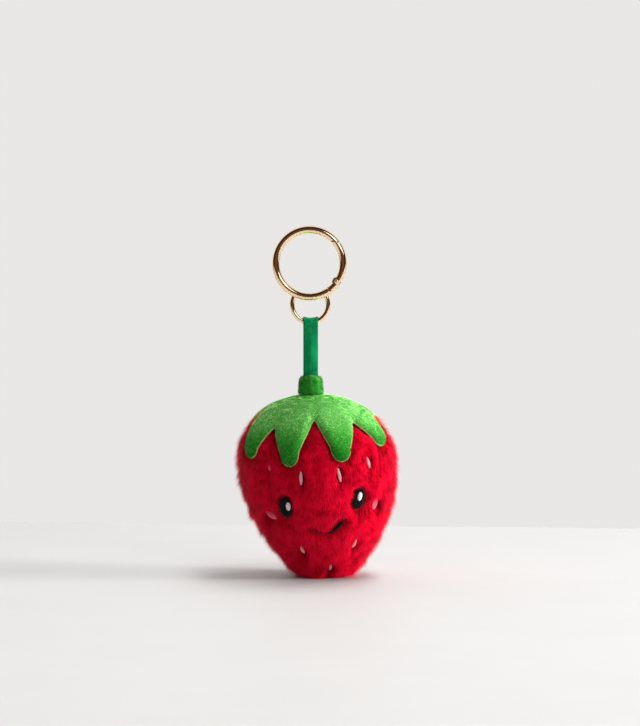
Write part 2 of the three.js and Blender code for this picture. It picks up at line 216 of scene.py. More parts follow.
def joined(*solids):
    """Several (vertices, faces) as one."""
    verts, faces, start = [], [], 0
    for part_verts, part_faces in solids:
        verts.append(np.asarray(part_verts))
        faces += [tuple(start + i for i in face) for face in part_faces]
        start += len(part_verts)
    return np.concatenate(verts), faces


def turned_out(solid):
    """A solid with each of its faces the other way round."""
    verts, faces = solid
    return verts, [face[::-1] for face in faces]


def circle(sides):
    """The angles of points spaced evenly round a circle."""
    return np.radians(np.arange(sides) * 360 / sides)


def combine(piece, other, operation):
    """Takes the other's shape out of the piece, or adds it, and removes the other."""
    change = piece.modifiers.new("Combine", "BOOLEAN")
    change.operation = operation
    change.solver = "EXACT"
    change.object = other
    bake(piece)
    bpy.data.objects.remove(other)
    return piece


def cut(piece, cutter):
    return combine(piece, cutter, "DIFFERENCE")


def union_with(piece, other):
    return combine(piece, other, "UNION")


def bake(piece):
    """Applies every modifier, leaving a plain mesh."""
    graph = bpy.context.evaluated_depsgraph_get()
    mesh = bpy.data.meshes.new_from_object(piece.evaluated_get(graph), depsgraph=graph)
    piece.modifiers.clear()
    old, piece.data = piece.data, mesh
    mesh.name = piece.name
    bpy.data.meshes.remove(old)
    return piece


def sharpened(piece, degrees):
    piece.data.set_sharp_from_angle(angle=math.radians(degrees))
    return piece


def subdivided(piece, levels):
    fine = piece.modifiers.new("Fine", "SUBSURF")
    fine.levels = fine.render_levels = levels
    return bake(piece)


def finish(piece, body, slot, *nodes):
    """Rides the piece on a body and hides the CAD nodes that it stands for; slot is not used."""
    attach(piece, body)
    if nodes:
        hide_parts(*nodes)
    return piece


def read(items, field):
    """One vector for each item of a mesh, as rows."""
    found = np.empty(len(items) * 3)
    items.foreach_get(field, found)
    return found.reshape(-1, 3)


def points_and_normals(mesh):
    return read(mesh.vertices, "co"), read(mesh.vertices, "normal")


def move_points(mesh, points):
    mesh.vertices.foreach_set("co", points.ravel())
    mesh.update()


def write_attribute(mesh, name, kind, values):
    field = {"FLOAT": "value", "FLOAT_VECTOR": "vector"}[kind]
    attribute = mesh.attributes.new(name, kind, "POINT")
    attribute.data.foreach_set(field, np.ascontiguousarray(values, np.float32).ravel())


# ---- node trees


class Nodes:
    """Adds nodes to a tree, setting or linking their inputs by place or name."""

    def __init__(self, tree):
        self.tree = tree

    def add(self, kind, inputs=(), **properties):
        node = self.tree.nodes.new(kind)
        for name, value in properties.items():
            setattr(node, name, value)
        for key, value in dict(inputs).items():
            socket = node.inputs[key]
            if isinstance(value, bpy.types.NodeSocket):
                self.tree.links.new(value, socket)
            else:
                socket.default_value = value
        return node

    def out(self, kind, inputs=(), **properties):
        """The first output of a new node."""
        return self.add(kind, inputs, **properties).outputs[0]

    def math(self, operation, *values):
        return self.out("ShaderNodeMath", enumerate(values), operation=operation)

    def plus(self, a, b):
        return self.math("ADD", a, b)

    def minus(self, a, b):
        return self.math("SUBTRACT", a, b)

    def times(self, a, b):
        return self.math("MULTIPLY", a, b)

    def over(self, a, b):
        return self.math("DIVIDE", a, b)

    def vector(self, operation, *values):
        return self.out("ShaderNodeVectorMath", enumerate(values), operation=operation)

    def scaled(self, vector, by):
        return self.out("ShaderNodeVectorMath", {0: vector, 3: by}, operation="SCALE")

    def xyz(self, *values):
        return self.out("ShaderNodeCombineXYZ", enumerate(values))

    def split(self, vector):
        return self.add("ShaderNodeSeparateXYZ", {0: vector}).outputs

    def random(self, low, high, seed):
        return self.add("FunctionNodeRandomValue", {2: low, 3: high, 8: seed}, data_type="FLOAT").outputs[1]

    def named(self, name, kind="FLOAT"):
        return self.out("GeometryNodeInputNamedAttribute", {0: name}, data_type=kind)

    def attribute(self, name, output="Fac"):
        return self.add("ShaderNodeAttribute", attribute_name=name).outputs[output]

    def store(self, geometry, name, value, domain, kind="FLOAT"):
        inputs = {0: geometry, 2: name, 3: value}
        return self.out("GeometryNodeStoreNamedAttribute", inputs, data_type=kind, domain=domain)

    def ramp(self, factor, *stops):
        node = self.add("ShaderNodeValToRGB", {0: factor})
        elements = node.color_ramp.elements
        while len(elements) < len(stops):
            elements.new(0.5)
        for element, (position, colour) in zip(elements, stops):
            element.position = position
            element.color = (*colour, 1)
        return node.outputs[0]

    def mix(self, factor, a, b):
        return self.add("ShaderNodeMix", {0: factor, 6: a, 7: b}, data_type="RGBA").outputs[2]

    def noise(self, vector, scale, detail=2.0, roughness=0.5):
        inputs = {"Vector": vector, "Scale": scale, "Detail": detail, "Roughness": roughness}
        return self.out("ShaderNodeTexNoise", inputs)

    def bump(self, height, distance, strength):
        return self.out("ShaderNodeBump", {"Height": height, "Distance": distance, "Strength": strength})

    def ball(self, segments, rings, scale):
        sphere = self.out("GeometryNodeMeshUVSphere", {0: segments, 1: rings, 2: 1.0})
        return self.out("GeometryNodeTransform", {"Geometry": sphere, "Scale": scale})

    def turned(self, first, second, axes, *angles):
        """A rotation that lays two axes along first and towards second, then turns by these angles."""
        names = {"primary_axis": axes[0], "secondary_axis": axes[1]}
        laid = self.out("FunctionNodeAxesToRotation", {0: first, 1: second}, **names)
        turn = self.out("FunctionNodeEulerToRotation", {0: self.xyz(*angles)})
        return self.out("FunctionNodeRotateRotation", {0: laid, 1: turn}, rotation_space="LOCAL")

    def instances(self, points, instance, rotation, scale, seed):
        """Copies of a mesh on points, each with a random tone of its own."""
        inputs = {"Points": points, "Instance": instance, "Rotation": rotation, "Scale": scale}
        copies = self.out("GeometryNodeInstanceOnPoints", inputs)
        return self.store(copies, "tone", self.random(0.0, 1.0, seed), "INSTANCE")


def new_tree(name, **inputs):
    """A geometry tree with inputs for the geometry, for each of these defaults and for the material."""
    tree = bpy.data.node_groups.new(name, "GeometryNodeTree")
    tree.interface.new_socket("Geometry", in_out="INPUT", socket_type="NodeSocketGeometry")
    tree.interface.new_socket("Geometry", in_out="OUTPUT", socket_type="NodeSocketGeometry")
    for label, default in inputs.items():
        kind = "NodeSocketInt" if isinstance(default, int) else "NodeSocketFloat"
        socket = tree.interface.new_socket(label.replace("_", " "), in_out="INPUT", socket_type=kind)
        socket.default_value = default
    tree.interface.new_socket("Material", in_out="INPUT", socket_type="NodeSocketMaterial")
    nodes = Nodes(tree)
    return nodes, nodes.add("NodeGroupInput").outputs


def end_tree(nodes, geometry, material):
    real = nodes.out("GeometryNodeRealizeInstances", {0: geometry})
    painted = nodes.out("GeometryNodeSetMaterial", {0: real, 2: material})
    nodes.add("NodeGroupOutput", {0: painted})
    return nodes.tree


def run_tree(piece, tree, **values):
    """Runs a geometry tree on the piece with these inputs and keeps the result as its mesh."""
    change = piece.modifiers.new(tree.name, "NODES")
    change.node_group = tree
    for item in tree.interface.items_tree:
        label = item.name.replace(" ", "_")
        if item.in_out == "INPUT" and label in values:
            change[item.identifier] = values[label]
    return bake(piece)


def pile_tree():
    """Strands of pile on a surface, each along the surface's "nap" and as long as its "pile" says."""
    sizes = {"Length": 4 * MM, "Height": 2 * MM, "Width": 0.2 * MM, "Steps": 4, "Swirl_Size": 5 * MM}
    shares = {"Straying": 0.3, "Swirl": 0.6, "Softness": 0.6, "Tufts": 0.0}
    nodes, given = new_tree("Pile", Density=8e6, Seed=1, **sizes, **shares)
    grown = nodes.math("GREATER_THAN", nodes.named("pile"), 0.03)
    inputs = {name: given[name] for name in ("Density", "Seed")}
    inputs |= {"Mesh": given["Geometry"], "Selection": grown}
    spread = nodes.add("GeometryNodeDistributePointsOnFaces", inputs, distribute_method="RANDOM").outputs
    points = nodes.store(spread["Points"], "root_normal", spread["Normal"], "POINT", "FLOAT_VECTOR")

    # One strand lies along Y and rises steeply from its root, then levels out
    inputs = {0: given["Width"], 1: given["Length"], 2: 2, 3: given["Steps"]}
    blade = nodes.out("GeometryNodeMeshGrid", inputs)
    where = nodes.out("GeometryNodeInputPosition")
    parts = nodes.split(where)
    along = nodes.plus(nodes.over(parts[1], given["Length"]), 0.5)
    left = nodes.minus(1.0, along)
    rise = nodes.times(given["Height"], nodes.minus(1.0, nodes.times(left, left)))
    taper = nodes.minus(1.0, nodes.times(nodes.times(along, along), 0.85))
    shape = nodes.xyz(nodes.times(parts[0], taper), nodes.times(along, given["Length"]), rise)
    blade = nodes.store(blade, "along", along, "POINT")
    blade = nodes.out("GeometryNodeSetPosition", {"Geometry": blade, "Position": shape})

    # It turns with a slow swirl, lifts in tufts and strays a little from its neighbours
    def cloud(times):
        return nodes.noise(where, nodes.over(times, given["Swirl Size"]), 1.0)

    swirl = nodes.times(nodes.minus(cloud(1.0), 0.5), nodes.times(given["Swirl"], 4.0))
    stray = nodes.times(nodes.random(-1.0, 1.0, 11), given["Straying"])
    tuft = nodes.times(nodes.minus(cloud(2.6), 0.46), given["Tufts"])
    lift = nodes.plus(tuft, nodes.times(nodes.random(-0.7, 1.0, 12), given["Straying"]))
    roll = nodes.times(nodes.random(-1.0, 1.0, 13), given["Straying"])
    nap = nodes.named("nap", "FLOAT_VECTOR")
    turned = nodes.turned(spread["Normal"], nap, "ZY", lift, roll, nodes.plus(swirl, stray))
    clump = nodes.plus(0.6, nodes.times(cloud(1.6), 0.8))
    size = nodes.times(nodes.times(nodes.named("pile"), nodes.random(0.7, 1.2, 14)), clump)
    strands = nodes.instances(points, blade, turned, nodes.xyz(nodes.random(0.7, 1.2, 16), size, size), 15)
    real = nodes.out("GeometryNodeRealizeInstances", {0: strands})
    smooth = nodes.out("GeometryNodeSetShadeSmooth", {0: real})

    # Its shading leans towards that of the cloth below, as a mass of fibres does
    own = nodes.scaled(nodes.out("GeometryNodeInputNormal"), nodes.minus(1.0, given["Softness"]))
    cloth = nodes.scaled(nodes.named("root_normal", "FLOAT_VECTOR"), given["Softness"])
    blend = nodes.vector("NORMALIZE", nodes.vector("ADD", own, cloth))
    soft = nodes.add("GeometryNodeSetMeshNormal", {"Mesh": smooth}, mode="FREE", domain="POINT")
    custom = next(socket for socket in soft.inputs if socket.type == "VECTOR")
    nodes.tree.links.new(blend, custom)
    return end_tree(nodes, soft.outputs[0], given["Material"])


def satin_tree():
    """A satin-stitched oval in the XY plane: threads across X in rows along Y, over a padded core."""
    sizes = {"Half_Width": 2.8 * MM, "Half_Height": 4.5 * MM, "Puff": 0.8 * MM}
    nodes, given = new_tree("Satin Stitch", Pitch=0.28 * MM, Thread=0.19 * MM, **sizes)
    half = given["Half Height"]
    inner = nodes.minus(half, nodes.times(given["Thread"], 0.6))
    count = nodes.plus(nodes.over(nodes.times(inner, 2.0), given["Pitch"]), 1.0)
    start = nodes.xyz(0.0, nodes.times(inner, -1.0), 0.0)
    inputs = {"Count": count, "Start Location": start, "Offset": nodes.xyz(0.0, inner, 0.0)}
    line = nodes.out("GeometryNodeMeshLine", inputs, mode="END_POINTS")
    # The arc reaches one unit to each side and is scaled to each row's width
    peak = nodes.xyz(0.0, 0.0, nodes.times(given["Puff"], 2.0))
    arc = nodes.out("GeometryNodeCurveQuadraticBezier", {0: 9, 1: (-1, 0, 0), 2: peak, 3: (1, 0, 0)})
    ring = nodes.out("GeometryNodeCurvePrimitiveCircle", {"Resolution": 6, "Radius": given["Thread"]})
    thread = nodes.out("GeometryNodeCurveToMesh", {0: arc, 1: ring, "Fill Caps": True})
    share = nodes.over(nodes.split(nodes.out("GeometryNodeInputPosition"))[1], half)
    chord = nodes.math("SQRT", nodes.math("MAXIMUM", nodes.minus(1.0, nodes.times(share, share)), 0.01))
    width = nodes.times(nodes.times(chord, given["Half Width"]), nodes.random(0.96, 1.03, 3))
    tilt = nodes.out("FunctionNodeEulerToRotation", {0: nodes.xyz(0.0, 0.0, nodes.random(-0.04, 0.04, 4))})
    rows = nodes.instances(line, thread, tilt, nodes.xyz(width, 1.0, chord), 5)
    core = nodes.ball(32, 12, nodes.xyz(given["Half Width"], half, given["Puff"]))
    core = nodes.store(core, "tone", 0.2, "POINT")
    both = nodes.add("GeometryNodeJoinGeometry")
    for geometry in (rows, core):
        nodes.tree.links.new(geometry, both.inputs[0])
    smooth = nodes.out("GeometryNodeSetShadeSmooth", {0: both.outputs[0]})
    return end_tree(nodes, smooth, given["Material"])


def line_stitch_tree():
    """Slanted stitches, one after another, along a line of edges."""
    sizes = {"Pitch": 0.6 * MM, "Stitch_Length": 1.1 * MM, "Thread": 0.3 * MM}
    nodes, given = new_tree("Line Stitch", Slant=0.35, **sizes)
    curve = nodes.out("GeometryNodeMeshToCurve", {0: given["Geometry"]})
    inputs = {0: curve, "Length": given["Pitch"]}
    spots = nodes.add("GeometryNodeCurveToPoints", inputs, mode="LENGTH").outputs
    half = nodes.times(given["Stitch Length"], 0.5)
    bead = nodes.ball(10, 6, nodes.xyz(half, given["Thread"], given["Thread"]))
    out = nodes.named("out", "FLOAT_VECTOR")
    turned = nodes.turned(spots["Tangent"], out, "XZ", 0.0, 0.0, given["Slant"])
    weight = nodes.named("weight")
    row = nodes.instances(spots["Points"], bead, turned, nodes.xyz(1.0, weight, weight), 6)
    smooth = nodes.out("GeometryNodeSetShadeSmooth", {0: row})
    return end_tree(nodes, smooth, given["Material"])


# ---- materials


def new_material(name):
    material = bpy.data.materials.new(name)
    material.use_nodes = True
    nodes = Nodes(material.node_tree)
    shader = material.node_tree.nodes["Principled BSDF"]
    where = nodes.add("ShaderNodeTexCoord").outputs["Object"]
    return material, nodes, shader, where


def paint(nodes, shader, colour, roughness=None, normal=None, **values):
    """Links the shader's colour, roughness and normal, and sets its uniform values."""
    for name, socket in {"Base Color": colour, "Roughness": roughness, "Normal": normal}.items():
        if socket is not None:
            nodes.tree.links.new(socket, shader.inputs[name])
    for name, value in values.items():
        shader.inputs[name.replace("_", " ")].default_value = value


def gold_material(name, colour, roughness):
    """Polished pale gold plating with faint haze and fine handling marks."""
    material, nodes, shader, where = new_material(name)
    haze = nodes.noise(where, 260, 4.0)
    marks = nodes.noise(nodes.vector("MULTIPLY", where, (900, 900, 9000)), 1.0, 3.0)
    tint = nodes.ramp(haze, (0.3, colour), (0.75, tuple(0.9 * c for c in colour)))
    rough = nodes.plus(roughness, nodes.times(haze, 0.07))
    paint(nodes, shader, tint, rough, nodes.bump(marks, 0.01 * MM, 0.15), Metallic=1.0)
    return material


def steel_material():
    material, nodes, shader, where = new_material("spring_steel")
    haze = nodes.noise(where, 900, 3.0)
    tint = nodes.ramp(haze, (0.3, (0.6, 0.58, 0.54)), (0.8, (0.42, 0.4, 0.37)))
    paint(nodes, shader, tint, nodes.plus(0.2, nodes.times(haze, 0.2)), Metallic=1.0)
    return material


def ribbon_material(settings):
    """Woven ribbon: fine ribs across its width, a darker band along each edge and a cloudy tone."""
    material, nodes, shader, where = new_material("ribbon_weave")
    spot = nodes.split(nodes.attribute("lay", "Vector"))
    ribs = nodes.math("SINE", nodes.times(spot[1], 2 * math.pi / settings.rib))
    warp = nodes.math("SINE", nodes.times(spot[0], 2 * math.pi / (0.8 * settings.rib)))
    weave = nodes.plus(nodes.times(ribs, 0.5), nodes.times(warp, 0.2))
    edge = nodes.math("GREATER_THAN", nodes.math("ABSOLUTE", spot[0]), RIBBON_HALF - 0.55 * MM)
    cloud = nodes.noise(where, 420, 3.0)
    dark = tuple(0.55 * c for c in settings.colour)
    light = tuple(min(1, 1.35 * c + 0.01) for c in settings.colour)
    shade = nodes.plus(nodes.times(weave, 0.22), nodes.times(cloud, 0.8))
    tone = nodes.ramp(shade, (0.05, dark), (0.45, tuple(settings.colour)), (0.95, light))
    tone = nodes.mix(nodes.times(edge, 0.35), tone, (*dark, 1))
    rough = nodes.minus(0.52, nodes.times(cloud, 0.16))
    paint(nodes, shader, tone, rough, nodes.bump(weave, 0.04 * MM, 0.8), Specular_IOR_Level=0.12)
    return material


def pile_material(name, colours, sheen, sheen_patch_size, contrast, painted_crown_light=0.0, stray=0.5):
    """Pile fibres, darker at the root as painted shade deep in the pile, with each strand's own tone and
    soft patches of painted sheen where the nap turns.

    painted_crown_light is how much lighter the pile is painted on the crown than at the calyx's tips, as
    painted light from overhead, and stray is how much one strand differs from the next.
    """
    root, middle, tip = (tuple(colour) for colour in colours)
    material, nodes, shader, where = new_material(name)
    tone = nodes.attribute("tone")
    # Painted sheen: soft lighter and darker patches of colour, standing in for the light caught where the
    # nap turns
    patch = nodes.noise(where, 1 / sheen_patch_size, 3.0, 0.6)
    reach = nodes.plus(nodes.attribute("along"), nodes.times(nodes.minus(patch, 0.5), contrast))
    reach = nodes.plus(reach, nodes.times(nodes.minus(tone, 0.5), stray))
    # Painted light: the pile is painted lighter higher up, for the overhead light on the calyx's crown
    share = nodes.over(nodes.minus(nodes.split(where)[2], BASE_Z + CROWN_LIGHT_FROM), CROWN_LIGHT_OVER)
    reach = nodes.plus(reach, nodes.times(share, painted_crown_light))
    # Painted shade: the ramp starts from the dark root colour, for the shade deep in the pile
    colour = nodes.ramp(reach, (0.0, root), (0.5, middle), (1.0, tip))
    tint = (*(min(1, 0.1 + 1.1 * c) for c in tip), 1)
    soft = {"Sheen_Weight": sheen, "Sheen_Roughness": 0.4, "Sheen_Tint": tint, "Specular_IOR_Level": 0.05}
    paint(nodes, shader, colour, nodes.minus(0.75, nodes.times(tone, 0.2)), **soft)
    return material


def backing_material(name, dark, light, size):
    """The knitted backing under a pile, or wadding: a soft mottle with a fine bump."""
    material, nodes, shader, where = new_material(name)
    cloud = nodes.noise(where, 1 / size, 4.0, 0.6)
    fine = nodes.bump(nodes.noise(where, 6 / size, 2.0), 0.15 * MM, 0.6)
    soft = {"Sheen_Weight": 0.3, "Sheen_Roughness": 0.5, "Specular_IOR_Level": 0.2}
    rough = nodes.minus(0.98, nodes.times(cloud, 0.1))
    paint(nodes, shader, nodes.ramp(cloud, (0.3, dark), (0.7, light)), rough, fine, **soft)
    return material


def thread_material(name, colour, sheen=0.1):
    """Embroidery thread with a fine twist and a tone of its own for each stitch, duller with no sheen."""
    material, nodes, shader, where = new_material(name)
    tone = nodes.attribute("tone")
    inputs = {"Vector": where, "Scale": 0.2 / THREAD_TWIST, "Distortion": 2.0, "Detail": 1.0}
    turns = nodes.add("ShaderNodeTexWave", inputs, bands_direction="DIAGONAL").outputs[1]
    dark = tuple(0.72 * c for c in colour)
    light = tuple(min(1, 1.15 * c + 0.002) for c in colour)
    mixed = nodes.plus(nodes.times(tone, 0.6), nodes.times(turns, 0.4))
    shade = nodes.ramp(mixed, (0.0, dark), (0.5, colour), (1.0, light))
    soft = {"Sheen_Weight": sheen, "Sheen_Roughness": 0.3, "Specular_IOR_Level": 0.3 if sheen else 0.12}
    rough = nodes.plus(0.34, nodes.times(tone, 0.12))
    paint(nodes, shader, shade, rough, nodes.bump(turns, 0.03 * MM, 0.5), **soft)
    return material


# ---- settings


def colour_setting(name, description, default):
    return FloatVectorProperty(name=name, description=description, subtype="COLOR", size=3, default=default)


def length_setting(name, description, default):
    return FloatProperty(name=name, description=description, default=default, unit="LENGTH")


def amount_setting(name, description, default, **limits):
    return FloatProperty(name=name, description=description, default=default, min=0, **limits)


class KeychainMetal(bpy.types.PropertyGroup):
    colour: colour_setting("Gold", "Colour of the plating", (1.0, 0.77, 0.53))
    roughness: amount_setting("Roughness", "Least roughness of the plating", 0.06, max=1, subtype="FACTOR")
    rivet_roughness: amount_setting("Rivet", "Least roughness of the rivet", 0.42, max=1, subtype="FACTOR")
    edge: length_setting("Edge", "Width of the worn edge at each joint", 0.36 * MM)


class KeychainRibbon(bpy.types.PropertyGroup):
    colour: colour_setting("Green", "Colour of the ribbon", (0.0, 0.26, 0.09))
    ply: length_setting("Ply", "Thickness of one layer", 0.42 * MM)
    rib: length_setting("Rib", "Spacing of the woven ribs", 0.34 * MM)


class KeychainFur(bpy.types.PropertyGroup):
    # The dark root colour is painted shade deep in the pile
    root: colour_setting("Root", "Colour at the roots", (0.18, 0.0, 0.002))
    middle: colour_setting("Middle", "Colour along the strands", (0.68, 0.0003, 0.01))
    tip: colour_setting("Tip", "Colour at the tips", (1.0, 0.004, 0.055))
    length: length_setting("Length", "How far a strand lies", 4.3 * MM)
    height: length_setting("Height", "Depth of the pile", 2.1 * MM)
    width: length_setting("Width", "Width of a strand", 0.15 * MM)
    density: amount_setting("Density", "Strands on each square millimetre", 16.2)
    seed: IntProperty(name="Seed", description="Seed for where the strands grow", default=7)


class KeychainVelour(bpy.types.PropertyGroup):
    # The dark root colour is painted shade deep in the pile
    root: colour_setting("Root", "Colour at the roots", (0.0, 0.13, 0.005))
    middle: colour_setting("Middle", "Colour of the pile", (0.022, 0.5, 0.03))
    tip: colour_setting("Tip", "Colour at the tips", (0.5, 1.0, 0.33))
    length: length_setting("Length", "How far a fibre lies", 0.75 * MM)
    density: amount_setting("Density", "Fibres on each square millimetre", 15)
    puff: length_setting("Puff", "Thickness of a leaf", 2.0 * MM)


class KeychainStitches(bpy.types.PropertyGroup):
    thread: length_setting("Thread", "Radius of the thread", 0.17 * MM)
    pitch: length_setting("Pitch", "Spacing of the threads", 0.27 * MM)
    black: colour_setting("Black", "Colour of the eyes", (0.003, 0.0025, 0.0035))
    white: colour_setting("White", "Colour of the highlights", (0.85, 0.76, 0.8))
    pink: colour_setting("Pink", "Colour of the cheeks", (0.82, 0.1, 0.17))
    seed_pink: colour_setting("Seeds", "Colour of the seeds", (1.0, 0.47, 0.49))


class KeychainStage(bpy.types.PropertyGroup):
    distance: length_setting("Distance", "From the camera to the object", 1.2)
    elevation: FloatProperty(
        name="Elevation", description="Height of the view", default=math.radians(3.7), subtype="ANGLE"
    )
    lens: FloatProperty(name="Lens", description="Focal length in millimetres", default=135.2, min=1)
    key: amount_setting("Key", "Power of the light on the right in watts", 222)
    front: amount_setting("Front", "Power of the light in front in watts", 4.4)
    fill: amount_setting("Fill", "Power of the light on the left in watts", 1.5)
    top: amount_setting("Top", "Power of the light overhead in watts", 8.0)


# ---- ring and gate


def on_ring(radius, degrees, y=0.0):
    angle = np.radians(degrees)
    x, z = radius * np.cos(angle), radius * np.sin(angle)
    return np.stack(np.broadcast_arrays(RING_CENTRE.x + x, y, RING_CENTRE.z + z), -1)


def nose_angle(radius, shift):
    """The angle at which a circle of that radius meets the nose joint's slanted plane."""
    a, b = (on_ring(RING_R - WIRE_R, NOSE_INNER), on_ring(RING_R + WIRE_R, NOSE_OUTER))
    along = (b - a) / np.linalg.norm(b - a)
    across = np.array((-along[2], 0, along[0]))
    height = (a - np.array(RING_CENTRE)) @ across + shift
    lean = math.degrees(math.atan2(across[2], across[0]))
    return lean - np.degrees(np.arccos(height / radius))


def tail_angle(radius, reach):
    """The angle, below the rivet, at which a circle of that radius is that far from the rivet."""
    arm = (RIVET - RING_CENTRE).length
    spread = (radius**2 + arm**2 - reach**2) / (2 * radius * arm)
    return RIVET_BEARING - np.degrees(np.arccos(spread))


def wire_arc(start, end, steps, edge, thick=WIRE_R):
    """A round wire along the ring with chamfered ends. start and end give each radius its own angle."""
    turn = circle(40)
    rings = []
    shares = np.concatenate([[0, 0], np.linspace(0, 1, steps), [1, 1]])
    insets = np.concatenate([[thick * 0.6, edge], np.zeros(steps), [edge, thick * 0.6]])
    for k, (share, inset) in enumerate(zip(shares, insets)):
        section = thick - inset
        radius = RING_R + section * np.cos(turn)
        first, last = start(radius), end(radius)
        margin = np.degrees(edge / RING_R)
        if k == 2:
            share = margin / np.mean(last - first)
        if k == len(shares) - 3:
            share = 1 - margin / np.mean(last - first)
        rings.append(on_ring(radius, first + (last - first) * share, section * np.sin(turn)))
    return turned_out(lofted(rings))


def plate(outline, half):
    """A flat plate from an outline of (x, z) points, as thick as twice half along Y."""
    near = np.array([(x, -half, z) for x, z in outline])
    far = near * (1, -1, 1)
    count = len(outline)
    faces = [tuple(range(count)), tuple(range(2 * count - 1, count - 1, -1))]
    faces += [(i, i + count, (i + 1) % count + count, (i + 1) % count) for i in range(count)]
    return np.concatenate([near, far]), faces


def ring_sector(inner, outer, start, end, half, steps=40):
    angles = np.linspace(start, end, steps)
    outline = np.concatenate([on_ring(outer, angles), on_ring(inner, angles[::-1])])
    return plate(outline[::-1, [0, 2]], half)


def tang_plate(half):
    """The flat end of the casting inside the gate, rounded about the rivet."""
    low = np.linspace(-60, RIVET_BEARING, 14)
    outer = on_ring(RING_R + 0.9 * MM, low)[:, [0, 2]]
    inner = on_ring(RING_R - 1.5 * MM, low[::-1])[:, [0, 2]]
    turn = np.radians(np.linspace(RIVET_BEARING + 20, RIVET_BEARING + 160, 14))
    cap = np.stack([RIVET.x + TANG_CAP_R * np.cos(turn), RIVET.z + TANG_CAP_R * np.sin(turn)], -1)
    return plate(np.concatenate([outer, cap, inner])[::-1], half)


def disc_along_y(at, radii, ys, sides=40):
    """A solid turned about a line along Y, through (radius, y) steps."""
    x, z = np.cos(circle(sides)), np.sin(circle(sides))
    rings = [np.stack([at.x + r * x, np.full(sides, y), at.z + r * z], -1) for r, y in zip(radii, ys)]
    return turned_out(lofted(rings))


def loop_wire():
    """The small loop, from one leg up inside the ring's wire round to the other."""
    reach = (RING_CENTRE - LOOP_CENTRE).length
    end_r = RING_R - 0.2 * MM  # the legs end inside the ring's wire
    spread = math.degrees(math.acos((LOOP_R**2 + reach**2 - end_r**2) / (2 * LOOP_R * reach)))
    turn = circle(28)
    rings = []
    for angle in np.radians(np.linspace(90 + spread, 450 - spread, 96)):
        radius = LOOP_R + LOOP_WIRE_R * np.cos(turn)
        x = LOOP_CENTRE.x + radius * math.cos(angle)
        z = LOOP_CENTRE.z + radius * math.sin(angle)
        rings.append(np.stack([x, LOOP_WIRE_R * np.sin(turn), z], -1))
    return turned_out(lofted(rings))


class KEYCHAIN_OT_ring(bpy.types.Operator):
    """Make the ring casting, the gate, its rivet and the spring's finish"""

    bl_idname = "keychain.ring"
    bl_label = "Ring and Gate"

    def execute(self, context):
        settings = context.scene.keychain_metal
        colour = tuple(settings.colour)
        gold = gold_material("polished_gold", colour, settings.roughness)
        worn = gold_material("peened_rivet", colour, settings.rivet_roughness)
        wire = wire_arc(
            lambda r: nose_angle(r, RING_GAP),
            lambda r: 360 + tail_angle(r, TAIL_REACH + 3 * RING_GAP),
            150,
            settings.edge,
        )
        tang = tang_plate(CHANNEL_HALF - 0.3 * MM)
        casting = make_piece("ring_casting", *joined(wire, loop_wire(), tang), gold)
        finish(sharpened(casting, 40), "ring", "gold", "ring_frame")

        def nose(r):
            return nose_angle(r, -RING_GAP)

        arm = wire_arc(lambda r: tail_angle(r, TAIL_REACH), nose, 60, settings.edge)
        gate = make_piece("gate_arm", *arm, gold)
        knuckle_r, knuckle_y = np.array(((1.75, 1.95, 1.95, 1.75), (-1.45, -1.25, 1.25, 1.45))) * MM
        union_with(gate, make_piece("knuckle", *disc_along_y(RIVET, knuckle_r, knuckle_y), gold))
        channel = ring_sector(RING_R - 4 * MM, CHANNEL_OUTER, -62, CHANNEL_END, CHANNEL_HALF)
        cut(gate, make_piece("channel", *channel, None, False))
        hole = disc_along_y(RIVET, (RIVET_HOLE_R, RIVET_HOLE_R), (-3 * MM, 3 * MM))
        cut(gate, make_piece("hole", *hole, None))
        tip = 0.8 * RING_GAP
        tongue = wire_arc(lambda r: nose(r) - 2, lambda r: nose_angle(r, tip), 4, 0.03 * MM, TONGUE_R)
        union_with(gate, make_piece("tongue", *tongue, gold))
        gate.data.shade_smooth()
        finish(sharpened(gate, 32), "gate", "gold", "gate")

        # Half of the rivet from its end to its middle, and the other half is its mirror image
        half_r = np.array((0.25, 0.62, 0.9, 1.02, 1.04, 0.52)) * MM
        half_y = np.array((2.3, 2.22, 2.04, 1.8, 1.6, 1.58)) * MM
        radii, ys = np.concatenate([half_r, half_r[::-1]]), np.concatenate([-half_y, half_y[::-1]])
        rivet = make_piece("gate_rivet_pin", *disc_along_y(RIVET, radii, ys, 28), worn)
        finish(sharpened(rivet, 50), "ring", "gold", "gate_rivet")

        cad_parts["gate_spring"].data.materials.clear()
        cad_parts["gate_spring"].data.materials.append(steel_material())
        return {"FINISHED"}


# ---- ribbon


def ribbon_path(x, ply_side):
    """Points (y, z) down one face of the folded ribbon, at that distance across it."""
    radius = FOLD_BEND_R + ply_side
    foot = 0.06 * MM + ply_side
    # The bend sinks in its middle and rises at its corners, as the wire that it hangs on curves up
    rise = (0.67 * (x / RIBBON_HALF) ** 2 - 0.37) * MM
    turn = np.radians(np.linspace(0, 180, 25))
    reach = radius + rise * np.sin(turn) ** 2
    bend = list(zip(reach * np.cos(turn), FOLD_Z + reach * np.sin(turn)))
    fall = np.linspace(0, 1, 25)[1:]
    ease = fall**2 * (3 - 2 * fall)
    meet = FOLD_Z - 6.5 * MM
    side = [(radius + (foot - radius) * e, FOLD_Z + (meet - FOLD_Z) * f) for e, f in zip(ease, fall)]
    drop = [(foot, meet + (RIBBON_END - meet) * f) for f in np.linspace(0, 1, 40)[1:]]
    down = side + drop
    path = np.array(down[::-1] + bend + [(-y, z) for y, z in down])
    path[:, 0] -= ribbon_bow(x, path[:, 1])
    return path


def ribbon_bow(x, z):
    """How far the flat part of the strap bows forwards across its width."""
    below = np.clip((LOOP_CENTRE.z - LOOP_R - 3 * MM - z) / (9 * MM), 0, 1)
    above = np.clip((z - STRAP_LOW.z) / (6 * MM), 0, 1)
    return RIBBON_BOW * below * above * (1 - (abs(x) / RIBBON_HALF) ** 1.3)


